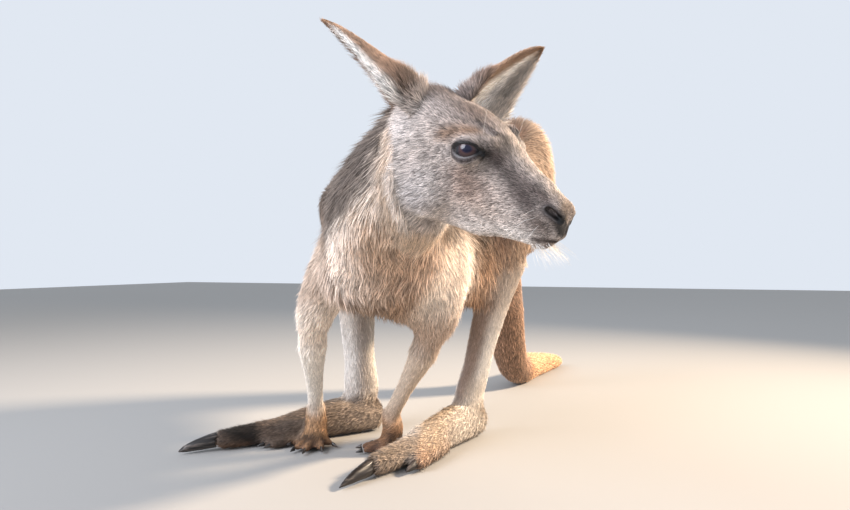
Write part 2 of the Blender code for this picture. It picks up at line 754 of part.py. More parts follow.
clear_scene()
workshop = collection("workshop")
kangaroo = collection("kangaroo")
HEAD_TURN = head_frame()
body_forms = [trunk_form(), neck_form(), tail_form()]
for side in SIDES:
    body_forms += [thigh_form(side), shank_form(side, 3), upper_arm_form(side), forearm_form(side, 2)]
body = floor_cut(thinned(fused("body", body_forms, voxel=0.0060, rounds=18), TRIANGLES["body"]))
for side in SIDES:
    make_limbs(body, side)
make_tail(body)
make_head(body)
chest = past(body, "chest", WAIST_FACE["point"], WAIST_FACE["direction"], reach=0.25, depth=0.4)
keep("chest", chest, COLOURS["coat"])
keep("rump", body, COLOURS["coat"])
shift = stand_on_origin()
bpy.data.collections.remove(workshop)
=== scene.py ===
import math
from contextlib import contextmanager

import bmesh
import bpy
import numpy as np
from mathutils import Matrix, Vector, kdtree
from mathutils.bvhtree import BVHTree


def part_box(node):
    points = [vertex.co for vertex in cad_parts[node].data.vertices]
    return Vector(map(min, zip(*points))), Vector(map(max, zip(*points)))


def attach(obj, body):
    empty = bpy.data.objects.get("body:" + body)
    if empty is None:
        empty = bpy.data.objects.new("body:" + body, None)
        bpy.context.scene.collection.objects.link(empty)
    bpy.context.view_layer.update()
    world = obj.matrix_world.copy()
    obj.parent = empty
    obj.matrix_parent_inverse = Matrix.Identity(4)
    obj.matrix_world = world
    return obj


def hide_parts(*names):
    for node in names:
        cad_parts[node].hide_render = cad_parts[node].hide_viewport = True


# A grey kangaroo in its coat: one unbroken skin with the folds of the face, lying tufts over it, eyes,
# claws, whiskers and lashes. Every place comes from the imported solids. Lengths are in metres, or in mm where
# a note says so and in the head's frame.

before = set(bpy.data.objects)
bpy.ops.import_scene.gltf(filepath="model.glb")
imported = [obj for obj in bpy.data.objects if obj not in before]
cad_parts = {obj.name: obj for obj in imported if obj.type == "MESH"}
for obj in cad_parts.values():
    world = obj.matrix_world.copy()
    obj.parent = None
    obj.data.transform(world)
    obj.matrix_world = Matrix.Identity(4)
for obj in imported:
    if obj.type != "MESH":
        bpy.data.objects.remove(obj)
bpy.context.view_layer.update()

sides = {"left": 1.0, "right": -1.0}
fleshNodes = [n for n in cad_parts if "claw" not in n and "eye" not in n]


# places
def middleOf(node):
    low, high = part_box(node)
    return (low + high) / 2


head = {
    "yaw": 78.5,  # degrees from straight ahead to the animal's left
    "pitch": -32.0,
    "roll": 7.0,
    "eyeForward": -0.003,  # an eye's centre from the middle of the head
    "eyeOut": 0.033,
    "eyeUp": 0.001,
    "posedAt": (0.164, -0.329, 0.361),  # the middle of the head in the pose's own numbers
}
yaw, pitch, roll = (math.radians(head[key]) for key in ("yaw", "pitch", "roll"))
forward = Vector((math.sin(yaw) * math.cos(pitch), -math.cos(yaw) * math.cos(pitch), math.sin(pitch)))
leftward = Vector((0, 0, 1)).cross(forward).normalized()
turn = Matrix((forward, leftward, forward.cross(leftward))).transposed() @ Matrix.Rotation(roll, 3, "X")
eyesMiddle = (middleOf("eye_left") + middleOf("eye_right")) / 2
headCentre = eyesMiddle - turn @ Vector((head["eyeForward"], 0, head["eyeUp"]))
shift = np.array(headCentre - Vector(head["posedAt"]))  # from the pose's own numbers to the frame
headCentre, turn = np.array(headCentre), np.array(turn)


def toHead(points):
    return (points - headCentre) @ turn * 1000  # mm forward, left and up


def fromHead(rows):
    return headCentre + (np.asarray(rows, float) / 1000) @ turn.T


def place(*spot):
    return np.array(spot) + shift


pose = {
    "heel": {"left": (0.040, 0.100, 0.0), "right": (-0.113, 0.065, 0.0)},
    "footHeading": {"left": -17.0, "right": -43.5},  # degrees
    "wrist": {"left": (-0.055, -0.046, 0.054), "right": (-0.172, -0.056, 0.058)},
    "handHeading": {"left": -80.0, "right": 12.0},
    "elbow": {"left": (0.036, -0.107, 0.188), "right": (-0.127, -0.142, 0.192)},
    "shoulder": {"left": (0.060, -0.165, 0.285), "right": (-0.068, -0.172, 0.285)},
    "knee": {"left": (0.117, -0.020, 0.352), "right": (-0.137, -0.034, 0.364)},
}


def heading(limb, side):  # which way a foot or hand points, and across it
    angle = math.radians(pose[limb + "Heading"][side])
    ahead = np.array((math.sin(angle), -math.cos(angle), 0.0))
    return ahead, np.array((-ahead[1], ahead[0], 0.0))


def at(joint, side, raised=0.0):
    return place(*pose[joint][side]) + np.array((0, 0, raised))


# small tools
def unit(rows):
    return rows / np.maximum(np.linalg.norm(rows, axis=-1, keepdims=True), 1e-9)


def ramp(value, low, high):
    t = np.clip((value - low) / (high - low), 0, 1)
    return t * t * (3 - 2 * t)


def bell(value, reach):
    return np.exp(-(value / reach) ** 2)


def blob(points, centre, radii):
    return np.exp(-(((points - np.array(centre)) / np.array(radii)) ** 2).sum(-1))


def tone(code):
    return np.array([(c / 12.92 if c < 0.04045 else ((c + 0.055) / 1.055) ** 2.4)
                     for c in (int(code[i:i + 2], 16) / 255 for i in (0, 2, 4))])


def colour(code):
    return (*tone(code), 1.0)


def newObject(name, data):
    obj = bpy.data.objects.new(name, data)
    bpy.context.scene.collection.objects.link(obj)
    return obj


def newMesh(name, points, faces):
    mesh = bpy.data.meshes.new(name)
    mesh.from_pydata([tuple(p) for p in points], [], faces)
    return mesh


@contextmanager
def editing(mesh):
    bm = bmesh.new()
    bm.from_mesh(mesh)
    yield bm
    bm.to_mesh(mesh)
    bm.free()


def faceOut(bm):
    bmesh.ops.recalc_face_normals(bm, faces=bm.faces)
    if bm.calc_volume(signed=True) < 0:
        bmesh.ops.reverse_faces(bm, faces=bm.faces)


def modify(obj, kind, **settings):
    made = obj.modifiers.new(kind.lower(), kind)
    for name, value in settings.items():
        setattr(made, name, value)
    return made


def settled(obj):
    bpy.context.view_layer.update()
    graph = bpy.context.evaluated_depsgraph_get()
    mesh = bpy.data.meshes.new_from_object(obj.evaluated_get(graph))
    obj.modifiers.clear()
    obj.data = mesh
    return obj


def pointsOf(mesh, what="co"):
    found = np.empty(len(mesh.vertices) * 3, np.float32)
    mesh.vertices.foreach_get(what, found)
    return found.reshape(-1, 3).astype(float)


def setPoints(mesh, points):
    mesh.vertices.foreach_set("co", np.asarray(points, np.float32).ravel())
    mesh.update()


def indicesOf(rows, width):
    found = np.empty(len(rows) * width, np.int32)
    rows.foreach_get("vertices", found)
    return found.reshape(-1, width)


def smoothShaded(mesh, finish):
    mesh.polygons.foreach_set("use_smooth", [True] * len(mesh.polygons))
    mesh.materials.clear()
    mesh.materials.append(finish)


def spread(values, edges, rounds):  # averages each row with its neighbours
    values = np.array(values, float)
    flat = values.reshape(len(values), -1)
    a, b = edges[:, 0], edges[:, 1]
    size = len(flat)
    count = np.bincount(a, minlength=size) + np.bincount(b, minlength=size) + 1.0
    for _ in range(rounds):
        total = flat.copy()
        for column in range(flat.shape[1]):
            total[:, column] += np.bincount(a, flat[b, column], size) + np.bincount(b, flat[a, column], size)
        flat = total / count[:, None]
    return flat.reshape(values.shape)


def mergedCopy(nodes, grow=0.0):  # grown a little, the gaps between the solids close
    merged = bmesh.new()
    for node in nodes:
        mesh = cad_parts[node].data.copy()
        with editing(mesh) as bm:
            bmesh.ops.remove_doubles(bm, verts=bm.verts, dist=1e-5)
            bm.normal_update()
            for v in bm.verts:
                v.co += v.normal * grow
        merged.from_mesh(mesh)
        bpy.data.meshes.remove(mesh)
    mesh = bpy.data.meshes.new("merged")
    merged.to_mesh(mesh)
    merged.free()
    return mesh


def remeshed(name, mesh, voxel, rounds):
    obj = newObject(name, mesh)
    modify(obj, "REMESH", mode="VOXEL", voxel_size=voxel)
    modify(obj, "SMOOTH", factor=0.5, iterations=rounds)
    return settled(obj)


# the body's parts, named as the solids are without their side
coat = {
    # part: skin's depth under the tips (mm), tone, lie, tufts' length and width (mm), lift (degrees), zone
    "head": (2.2, "cabdb5", (0, 0, 0), 5.0, 0.75, 17, "faceRight"),
    "neck": (5.5, "f0e1d3", (-0.30, 0.30, -0.90), 18, 1.15, 17, "neck"),
    "chest": (6.0, "c6b09d", (0, 0.45, -0.85), 24, 1.2, 19, "chest"),
    "rump": (6.0, "a58f7e", (0, 0.95, -0.35), 14, 1.35, 16, "rump"),
    "thigh": (5.5, "b59d8a", (0, 0.45, -0.9), 12, 1.3, 15, "thighRight"),
    "shank": (2.6, "f3ede6", (0, 0, 0), 6.0, 0.85, 12, "hindLegs"),
    "foot": (2.0, "c9b8a8", (0, 0, 0), 7.5, 0.95, 24, "hindLegs"),
    "upper_arm": (4.5, "f8e9da", (0, 0, 0), 12, 1.1, 16, "arms"),
    "forearm": (2.2, "fff6ea", (0, 0, 0), 5.5, 0.8, 12, "arms"),
    "hand": (1.2, "d8bd9f", (0, 0, 0), 4.5, 0.8, 15, "arms"),
    "tail_1": (5.0, "b3937e", (0, 0.7, -0.7), 11, 1.4, 17, "tail"),
    "tail_2": (3.0, "ab8870", (0, 0.35, -0.9), 9, 1.3, 17, "tail"),
    # the tail's last two parts: a sandy orange, painted lighter and warmer as if in sunlight
    "tail_3": (1.8, "e9b68a", (0.05, 0.9, -0.3), 8, 1.3, 17, "tail"),
    "tail_4": (1.0, "e4ad80", (0.1, 0.95, 0), 9, 1.3, 18, "tail"),
}
partNames = list(coat)
depths, baseTones, baseLies, lengths, widths, lifts, zoneOfPart = zip(*coat.values())

surface, surfaceLabels = [], []
for node in fleshNodes:
    if not node.startswith("ear"):
        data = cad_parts[node].data
        label = partNames.index(node.replace("_left", "").replace("_right", ""))
        surface += [p.center for p in data.polygons] + [Vector(c) for c in pointsOf(data)]
        surfaceLabels += [label] * (len(data.polygons) + len(data.vertices))


def searchTree(points):
    tree = kdtree.KDTree(len(points))
    for i, point in enumerate(points):
        tree.insert(Vector(point), i)
    tree.balance()
    return tree


surfaceTree = searchTree(surface)


def partWeights(points, edges, rounds):  # how much of each part a point belongs to, blended over the borders
    hard = np.zeros((len(points), len(partNames)))
    for i, p in enumerate(points):
        hard[i, surfaceLabels[surfaceTree.find(p)[1]]] = 1.0
    return spread(hard, edges, rounds)


def share(weights, *names):
    return sum(weights[:, partNames.index(name)] for name in names)


def mixed(weights, rows):  # a value for each point from one for each part
    return weights @ np.array(rows, float)


def sunk(obj, extra, rounds=14):  # moves the skin in by the coat's depth and by extra, in mm
    mesh = obj.data
    points, edges = pointsOf(mesh), indicesOf(mesh.edges, 2)
    weights = partWeights(points, edges, rounds)
    depth = mixed(weights, depths) + extra(points, weights)
    setPoints(mesh, points - pointsOf(mesh, "normal") * depth[:, None] / 1000)
    return obj


# skin of the body
print("skin: body")
skinSizes = {
    "bodyVoxel": 0.0052,
    "headVoxel": 0.0023,
    "limbVoxel": 0.0034,
    "easing": 16,  # rounds over the trunk
    "ankleEasing": 14,
    "join": 0.0004,  # each solid is grown by this
    "haunch": 0.011,  # how far the haunch is filled out
    "underBreast": 0.004,  # how deep the lower neck lies below the breast's skin
    "weld": 0.00005,
}
fillers = {  # soft flesh that bridges the breast to the arms: centre and radii
    "breast": ((-0.012, -0.200, 0.240), (0.080, 0.037, 0.032)),
    "breastLeft": ((0.048, -0.190, 0.262), (0.034, 0.034, 0.034)),
    "breastRight": ((-0.052, -0.180, 0.262), (0.030, 0.040, 0.034)),
}


# how much deeper than the coat each skin lies, in mm, so that the finer one shows where two overlap
def bodyExtra(points, weights):
    ends = np.clip(share(weights, "foot", "hand") * 1.3, 0, 1)
    return 2.6 * ends + 13.0 * ramp(share(weights, "head"), 0.45, 1.0)


def neckExtra(points, weights):
    h = toHead(points)
    lower = ramp(-h[:, 0] - 0.6 * h[:, 2], 105, 190)
    return 18.0 * lower - 0.9 * ramp(h[:, 0], 40, 80) * share(weights, "head")


def limbExtra(points, weights):
    gaps = [np.linalg.norm(points - at(joint, side), axis=1) for joint in ("elbow", "knee") for side in sides]
    upper = ramp(share(weights, "shank", "forearm"), 0.55, 1.0)
    return 3.0 * upper + 9.0 * ramp(0.075 - np.min(gaps, 0), 0, 0.03)


bodyMesh = mergedCopy([n for n in fleshNodes if not n.startswith("ear")], skinSizes["join"])
with editing(bodyMesh) as bm:
    for centre, radii in fillers.values():
        for v in bmesh.ops.create_icosphere(bm, subdivisions=4, radius=1.0)["verts"]:
            v.co = Vector(place(*centre)) + Vector(a * b for a, b in zip(v.co, radii))
skin = remeshed("skin", bodyMesh, skinSizes["bodyVoxel"], 9)

# the creases where one solid of the trunk meets the next are rounded off
points, links = pointsOf(skin.data), indicesOf(skin.data.edges, 2)
owned = partWeights(points, links, 6)
soft = share(owned, "neck", "chest", "rump", "upper_arm", "thigh")[:, None]
points = points * (1 - soft) + spread(points, links, skinSizes["easing"]) * soft
creased = share(owned, "rump", "thigh", "chest", "tail_1")
creased = creased * ramp(points[:, 1], place(0, -0.16, 0)[1], place(0, -0.04, 0)[1])
for _ in range(6):  # fills the hollows between rump and thighs, and leaves what bulges
    setPoints(skin.data, points)
    outwards = pointsOf(skin.data, "normal")
    rise = ((spread(points, links, 14) - points) * outwards).sum(1)
    points = points + outwards * (np.where(rise > 0, rise, 0.12 * rise) * creased)[:, None]
breast = blob(points, place(-0.010, -0.205, 0.240), (0.12, 0.080, 0.060))[:, None]
breast = np.clip(breast * 1.5, 0, 1) * soft
setPoints(skin.data, points * (1 - breast) + spread(points, links, 5 * skinSizes["easing"]) * breast)
points = pointsOf(skin.data)
haunch = blob(points, place(0.10, 0.10, 0.47), (0.06, 0.07, 0.05))[:, None]
setPoints(skin.data, points + pointsOf(skin.data, "normal") * skinSizes["haunch"] * haunch)
sunk(skin, bodyExtra)

# skin of the head
print("skin: head")
eye = {
    "globe": 12.8,  # mm, its radius
    "gaze": (-0.03, 0.995, 0.05),  # the middle of the lids' opening, from the eye's centre
    "slit": (0.915, 0.0, 0.40),  # along the opening, from the outer corner to the inner one
    "open": (-47.0, 66.0),  # degrees along the slit
    "upper": 16.5,
    "lower": 25.0,
    "lid": 14.1,  # mm, radius over the lids
    "clear": 0.15,  # mm between globe and lid
    "socket": 11.4,  # the skin's radius behind the globe
    "drop": (0.0, 0.0, -1.4),  # mm that the globe sits from the solid's centre
    "pupil": (22.0, 3.0),  # degrees along the slit and up from the gaze
    "iris": 40.0,  # degrees from the pupil's centre to the iris's edge
    "oval": 0.72,  # the pupil's height as a part of its width
    "cornea": 0.7,  # mm that it bulges
    "rings": 72,
    "segments": 96,
}
face = {  # lines in the head's frame, mm forward, out to the side and up
    "nostril": [(75.0, 17.6, -12.2), (80.0, 15.6, -13.2), (86.0, 10.5, -15.6)],
    "mouth": [(90, 0, -34), (87.5, 7, -35.5), (81.5, 12, -38), (70, 15.5, -42.5), (56, 18, -47),
              (43, 19.5, -50)],
    "tear": [(6.0, 39.0, 2.5), (10.0, 35.5, 3.6), (15.0, 31.0, 4.2)],
    "jaw": [(44, 0, -54), (16, 0, -64), (-10, 0, -74), (-30, 0, -82)],
    "fuller": [  # lips, chin and nose: centre, radii and how far they move
        ((87, 0, -28), (9, 15, 8), (2.6, 0, -0.6)),
        ((78, 0, -42), (13, 14, 9), (2.6, 0, -1.6)),
        ((84, 0, -4), (8, 12, 9), (-0.8, 0, 0.0)),
    ],
    "lower": [  # room for the deeper coat of the crown and the forehead: centre, radii and drop
        ((-52, 4, 38), (24, 30, 18), 9.0), ((-16, 2, 36), (25, 30, 19), 7.5),
        ((2, 27, 25), (20, 12, 11), 3.0), ((2, -27, 25), (20, 12, 11), 2.5),
        ((14, 4, 26), (20, 18, 14), 3.0), ((38, 0, 14), (34, 14, 12), 1.1),
    ],
}


def eyeFrame(side):  # centre, gaze, slit and upward direction of an eye, in the head's frame
    flip = np.array((1.0, sides[side], 1.0))
    centre = np.array((head["eyeForward"], head["eyeOut"], head["eyeUp"])) * 1000 + np.array(eye["drop"])
    gaze = unit(np.array(eye["gaze"]) * flip)
    slit = np.array(eye["slit"])
    slit = unit(slit - slit @ gaze * gaze)
    up = np.cross(gaze, slit)
    return centre * flip, gaze, slit, up * np.sign(up[2])


def fromEye(side, across, above):  # the way out of an eye at radians along its slit and above it
    gaze, slit, up = eyeFrame(side)[1:]
    return (math.cos(across) * math.cos(above) * gaze + math.sin(across) * math.cos(above) * slit
            + math.sin(above) * up)


def nearEye(h, side, reach):
    return np.linalg.norm(h - eyeFrame(side)[0], axis=1) < reach


def alongLids(angle):  # -1 to 1 between the corners, and half the opening's width in degrees
    low, high = eye["open"]
    half = (high - low) / 2
    return (angle - (low + high) / 2) / half, half


def lidDistance(h, side):  # mm from the edge of the lids' opening, negative inside it, and the angle up
    centre, gaze, slit, up = eyeFrame(side)
    u = unit(h - centre)
    above = np.degrees(np.arcsin(np.clip(u @ up, -1, 1)))
    t, half = alongLids(np.degrees(np.arctan2(u @ slit, u @ gaze)))
    arch = np.clip(1 - np.abs(t) ** 2.1, 0, 1)
    edge = np.where(above > 0, eye["upper"] * arch ** 0.85, eye["lower"] * arch ** 1.05)
    beyond = np.clip(np.abs(t) - 1, 0, None) * half
    gap = np.where(beyond > 0, np.hypot(beyond, above), np.abs(above) - edge)
    return gap * eye["globe"] * math.pi / 180, above


def nearLine(h, line):  # distance from each point to a polyline, and how far along it, 0 to 1
    line = np.asarray(line, float)
    best, where = np.full(len(h), 1e9), np.zeros(len(h))
    for i, (a, b) in enumerate(zip(line[:-1], line[1:])):
        t = np.clip(((h - a) @ (b - a)) / ((b - a) @ (b - a)), 0, 1)
        d = np.linalg.norm(h - (a + t[:, None] * (b - a)), axis=1)
        closer = d < best
        best[closer] = d[closer]
        where[closer] = (i + t[closer]) / (len(line) - 1)
    return best, where


def nearFace(h, name, side):
    return nearLine(h, np.array(face[name], float) * np.array((1.0, sides[side], 1.0)))


def refined(mesh, inside):  # halves the edges where inside(h) is true
    with editing(mesh) as bm:
        chosen = inside(toHead(np.array([v.co for v in bm.verts])))
        edges = [e for e in bm.edges if chosen[e.verts[0].index] and chosen[e.verts[1].index]]
        bmesh.ops.subdivide_edges(bm, edges=edges, cuts=1, use_grid_fill=True)
        bmesh.ops.triangulate(bm, faces=[f for f in bm.faces if len(f.verts) > 4])


def eyeZone(h, reach):
    return nearEye(h, "left", reach) | nearEye(h, "right", reach)


def detailZone(h):
    lips = [nearFace(h, "mouth", side)[0] < 5 for side in sides]
    return eyeZone(h, 21) | (h[:, 0] > 62) & (h[:, 2] < 2) | lips[0] | lips[1]


headMesh = mergedCopy(["head", "neck"], skinSizes["join"])
with editing(headMesh) as bm:
    for side in sides:
        dome = bmesh.ops.create_uvsphere(bm, u_segments=32, v_segments=20, radius=(eye["lid"] + 0.9) / 1000)
        bmesh.ops.translate(bm, verts=dome["verts"], vec=Vector(fromHead(eyeFrame(side)[0])))
headSkin = remeshed("head_skin", headMesh, skinSizes["headVoxel"], 16)
sunk(headSkin, neckExtra, 8)
bodyTree = BVHTree.FromPolygons([tuple(p) for p in pointsOf(skin.data)],
                                [tuple(f.vertices) for f in skin.data.polygons])
points = pointsOf(headSkin.data)
h = toHead(points)
held = ramp(-h[:, 0] - 0.6 * h[:, 2], 120, 160)
for i in np.nonzero(held > 0)[0]:  # the lower neck goes under the skin of the breast
    spot, normal = (np.array(row) for row in bodyTree.find_nearest(points[i])[:2])
    rise = (points[i] - spot) @ normal + skinSizes["underBreast"]
    points[i] -= normal * max(rise, 0.0) * held[i]
setPoints(headSkin.data, points)
refined(headSkin.data, detailZone)
refined(headSkin.data, lambda h: eyeZone(h, 16.5))

h = toHead(pointsOf(headSkin.data))
for side, s in sides.items():
    # lids round the globe, with a fold above and below
    near = nearEye(h, side, 24)
    centre = eyeFrame(side)[0]
    gap, above = lidDistance(h[near], side)
    shut = eye["globe"] + eye["clear"]
    lid = shut + (eye["lid"] - eye["globe"]) * ramp(gap, 0, 1.3)
    lid += 0.7 * ramp(gap, 1.2, 3.2) - 0.9 * bell(gap - 5.0, 0.9) * (above > 0)
    lid -= 0.5 * bell(gap - 3.6, 0.7) * (above < 0)
    lid = np.where(gap < 0, eye["socket"] + (shut - eye["socket"]) * ramp(gap, -0.7, 0.0), lid)
    own = ramp(gap, 5.0, 10.0)
    v = h[near] - centre
    h[near] = centre + unit(v) * (lid * (1 - own) + np.linalg.norm(v, axis=1) * own)[:, None]
    h[:, 1] -= s * 1.6 * bell(nearFace(h, "tear", side)[0], 1.5)
    # nostril and mouth are sunk, and their rims raised
    d, t = nearFace(h, "nostril", side)
    inward = unit(np.array((-0.42, -0.90 * s, 0.0)))
    h += inward * (5.5 * bell(d, 1.9) * ramp(1 - t, -0.1, 0.35))[:, None]
    h -= inward * (1.1 * bell(d - 3.9, 1.4))[:, None]
    d, t = nearFace(h, "mouth", side)
    out = unit(np.array((0.25, 0.95 * s, 0.0)))
    h -= out * (1.9 * bell(d, 1.0) * ramp(1 - t, 0, 0.3))[:, None]
    h += out * (0.5 * bell(d - 2.4, 1.2) * ramp(1 - t, 0, 0.3))[:, None]
for centre, radii, move in face["fuller"]:
    h += blob(h, centre, radii)[:, None] * np.array(move)
for centre, radii, drop in face["lower"]:
    h[:, 2] -= drop * blob(h, centre, radii)
d, t = nearLine(h * np.array((1.0, 0.0, 1.0)), face["jaw"])
h += (4.5 * bell(d, 12.0) * ramp(t, 0.0, 0.35) * ramp(1 - t, 0.0, 0.3))[:, None] * np.array((0.30, 0, -0.95))
groove = bell(h[:, 1], 1.1) * ramp(h[:, 0], 80, 86) * ramp(-h[:, 2], 17, 22) * ramp(h[:, 2], -36, -31)
h[:, 0] -= 1.3 * groove  # the split of the upper lip
setPoints(headSkin.data, fromHead(h))

# skin of hands and feet
print("skin: hands and feet")
limbs = []
for side in sides:
    for nodes in ((f"foot_{side}", f"shank_{side}"), (f"hand_{side}", f"forearm_{side}")):
        limb = remeshed("limb_skin", mergedCopy(nodes, skinSizes["join"]), skinSizes["limbVoxel"], 4)
        if nodes[0].startswith("foot"):  # the front of the ankle is rounded off
            points = pointsOf(limb.data)
            eased = spread(points, indicesOf(limb.data.edges, 2), skinSizes["ankleEasing"])
            soft = blob(points, at("heel", side, 0.05), (0.05, 0.05, 0.03))
            setPoints(limb.data, points + (eased - points) * soft[:, None])
        limbs.append(sunk(limb, limbExtra, 8))

# skin of the ears
print("skin: ears")
ear = {
    "length": 0.104,  # from the crown to the tip of the skin
    "rooted": 0.016,  # how far it goes into the head
    "halfWidth": 0.0222,
    "wall": 0.0017,
    "along": 46,  # points along and across the wall
    "across": 33,
    "rollRoot": 114.0,  # half the angle that the shell wraps round its axis
    "rollTip": 52.0,
    "left": dict(root=(-55, 30, 22), points=(0.01, 0.73, 0.68), opens=(0.94, -0.24, 0.25)),
    "right": dict(root=(-76, -28, 14), points=(-0.85, -0.44, 0.26), opens=(-0.071, -0.402, -0.913)),
}


def earFrame(side):
    axis = unit(turn @ np.array(ear[side]["points"]))
    opening = turn @ np.array(ear[side]["opens"])
    opening = unit(opening - opening @ axis * axis)
    root = fromHead(np.array(ear[side]["root"])) - axis * ear["rooted"]
    return root, axis, opening, np.cross(axis, opening)


n, m = ear["along"], ear["across"]
earFaces = []  # the wall's two sides, then its rim
for i in range(n - 1):
    for a in range(i * m, i * m + m - 1):
        b = n * m + a
        earFaces += [(a, a + 1, a + m + 1, a + m), (b, b + m, b + m + 1, b + 1)]
    for a, b in ((i * m, (i + 1) * m), ((i + 1) * m + m - 1, i * m + m - 1)):
        earFaces.append((a, b, n * m + b, n * m + a))
for j in range(m - 1):
    for a, b in ((j + 1, j), ((n - 1) * m + j, (n - 1) * m + j + 1)):
        earFaces.append((a, b, n * m + b, n * m + a))
ears, earSpots, earNotes = [], [], []
for side, s in sides.items():
    root, axis, opening, edge = earFrame(side)
    rows, notes = [], []  # the middle of the wall, with how far along and across each point is
    for i in range(n):
        t = i / (n - 1)
        half = ear["halfWidth"] * (1 - t ** 2.1) ** 0.80 * min(1.0, 0.62 + 1.6 * t) + 0.0010
        wrap = math.radians(ear["rollRoot"] + (ear["rollTip"] - ear["rollRoot"]) * t)
        radius = half / math.sin(min(wrap, math.pi / 2))
        for across in (2 * j / (m - 1) - 1 for j in range(m)):
            angle = wrap * across
            spot = root + axis * ((ear["length"] + ear["rooted"]) * t) + edge * (radius * math.sin(angle))
            rows.append(spot - opening * (radius * (math.cos(angle) - 0.5)))
            notes.append((t, across))
    rows, notes = np.array(rows), np.array(notes)
    grid = rows.reshape(n, m, 3)
    normals = unit(np.cross(np.gradient(grid, axis=0), np.gradient(grid, axis=1)))
    if normals[n // 2, m // 2] @ opening < 0:
        normals = -normals  # they look into the hollow
    normals = normals.reshape(-1, 3)
    wall = ear["wall"] / 2 * (1 + 0.9 * (1 - np.abs(notes[:, 1:])) * (1 - notes[:, :1]))
    mesh = newMesh("ear", np.vstack([rows + normals * wall, rows - normals * wall]), earFaces)
    with editing(mesh) as bm:
        faceOut(bm)
    ears.append(newObject("ear_skin", mesh))
    earSpots.append(rows)
    earNotes.append(np.column_stack([notes, normals, np.full(len(rows), s)]))
earSpots, earNotes = np.vstack(earSpots), np.vstack(earNotes)

for other in [headSkin] + limbs + ears:
    modify(skin, "BOOLEAN", operation="UNION", solver="MANIFOLD", object=other)
    settled(skin)
    bpy.data.objects.remove(other)
with editing(skin.data) as bm:
    bmesh.ops.triangulate(bm, faces=bm.faces)
    bmesh.ops.remove_doubles(bm, verts=bm.verts, dist=skinSizes["weld"])
print("skin triangles", len(skin.data.polygons))

# markings, lie and length of the coat
print("markings and lie of the coat")
spots, edges = pointsOf(skin.data), indicesOf(skin.data.edges, 2)
outward = pointsOf(skin.data, "normal")
weights = partWeights(spots, edges, 14)
height = spots[:, 2]
h = toHead(spots)
ahead, aside, above = h.T
hs = np.column_stack([ahead, np.abs(aside), above])  # the face's markings are the same on both sides
posed = spots - shift
posedX, posedY, posedZ = posed.T

earTree = searchTree(earSpots)
found = [earTree.find(Vector(p)) for p in spots]
earRow = np.array([f[1] for f in found])
earGap = np.array([f[2] for f in found]) * 1000
earAlong, earAcross = earNotes[earRow, 0], earNotes[earRow, 1]
earSide = earNotes[earRow, 5]
hollow = ((spots - earSpots[earRow]) * earNotes[earRow, 2:5]).sum(1) > 0
onEar = spread(ramp(3.2 - earGap, 0, 1.2) * ramp(earAlong, 0.13, 0.20), edges, 2)
inEar = np.where(hollow, onEar, 0.0)
broadOut = unit(spread(outward, edges, 45))
smoothOut = unit(spread(outward, edges, 4))
# the ear's thin wall keeps its own directions
smoothOut = unit(smoothOut * (1 - onEar[:, None]) + outward * onEar[:, None])
outY, outZ = smoothOut[:, 1], smoothOut[:, 2]


def of(*names):
    return share(weights, *names)


def onSide(joint, side):
    left, right = (np.linalg.norm(spots - at(joint, s), axis=1) for s in sides)
    return left < right if side == "left" else ~(left < right)


def over(mask, code, amount=1.0):
    global paint
    m = np.clip(mask * amount, 0, 1)[:, None]
    paint = paint * (1 - m) + tone(code) * m


def along(line, radius):
    return bell(nearLine(hs, line)[0], radius)


# body: dark back, pale front, belly and legs, with painted shade under the chest and neck and on the front of
# the left thigh, and painted sunlight on the left flank
back = {  # where the dark back starts: heights, and how far back at each
    "heights": (0.22, 0.27, 0.30, 0.314, 0.33, 0.345, 0.365, 0.42),
    "depths": (0.11, -0.07, -0.205, -0.278, -0.338, -0.358, -0.366, -0.372),
}
onHead = of("head") * (1 - onEar)
front = of("chest", "neck")
paint = mixed(weights, [tone(code) for code in baseTones])
behind = posedY - np.interp(posedZ, back["heights"], back["depths"])
trunk = of("neck", "chest", "rump") + 0.9 * of("thigh")
dorsal = ramp(broadOut[:, 2] + 0.6 * broadOut[:, 1], -1.0, -0.35)
over(trunk * (1 - 0.42 * ramp(posedY, -0.02, 0.10)) * ramp(behind, -0.008, 0.030) * dorsal, "483b33", 0.92)
over(trunk * ramp(behind, 0.02, 0.10) * ramp(posedZ, 0.36, 0.44), "594a42", 0.5)
over(of("rump") * ramp(-outZ, 0.2, 0.8), "cdb9a5", 0.9)
# painted shade: warm brown on the downward faces of chest and neck
over(front * ramp(-outZ, 0.1, 0.8), "b3947c", 0.5)
# painted sunlight: the side of rump and thighs that faces the animal's left made warmer and paler
over(of("rump", "thigh") * ramp(broadOut[:, 0], 0.25, 0.95), "d3b193", 0.55)
over(of("chest") * ramp(-outY, 0.3, 0.9) * ramp(0.30 - posedZ, 0, 0.09), "cfc2ba", 0.7)
# darker brown low on the front: partly the belly's own tone, partly painted shade
over(front * ramp(0.252 - posedZ, 0, 0.035), "6f543e", 0.8)
over(front * ramp(posedX, -0.01, 0.04) * ramp(0.33 - posedZ, 0, 0.05), "b58a66", 0.5)
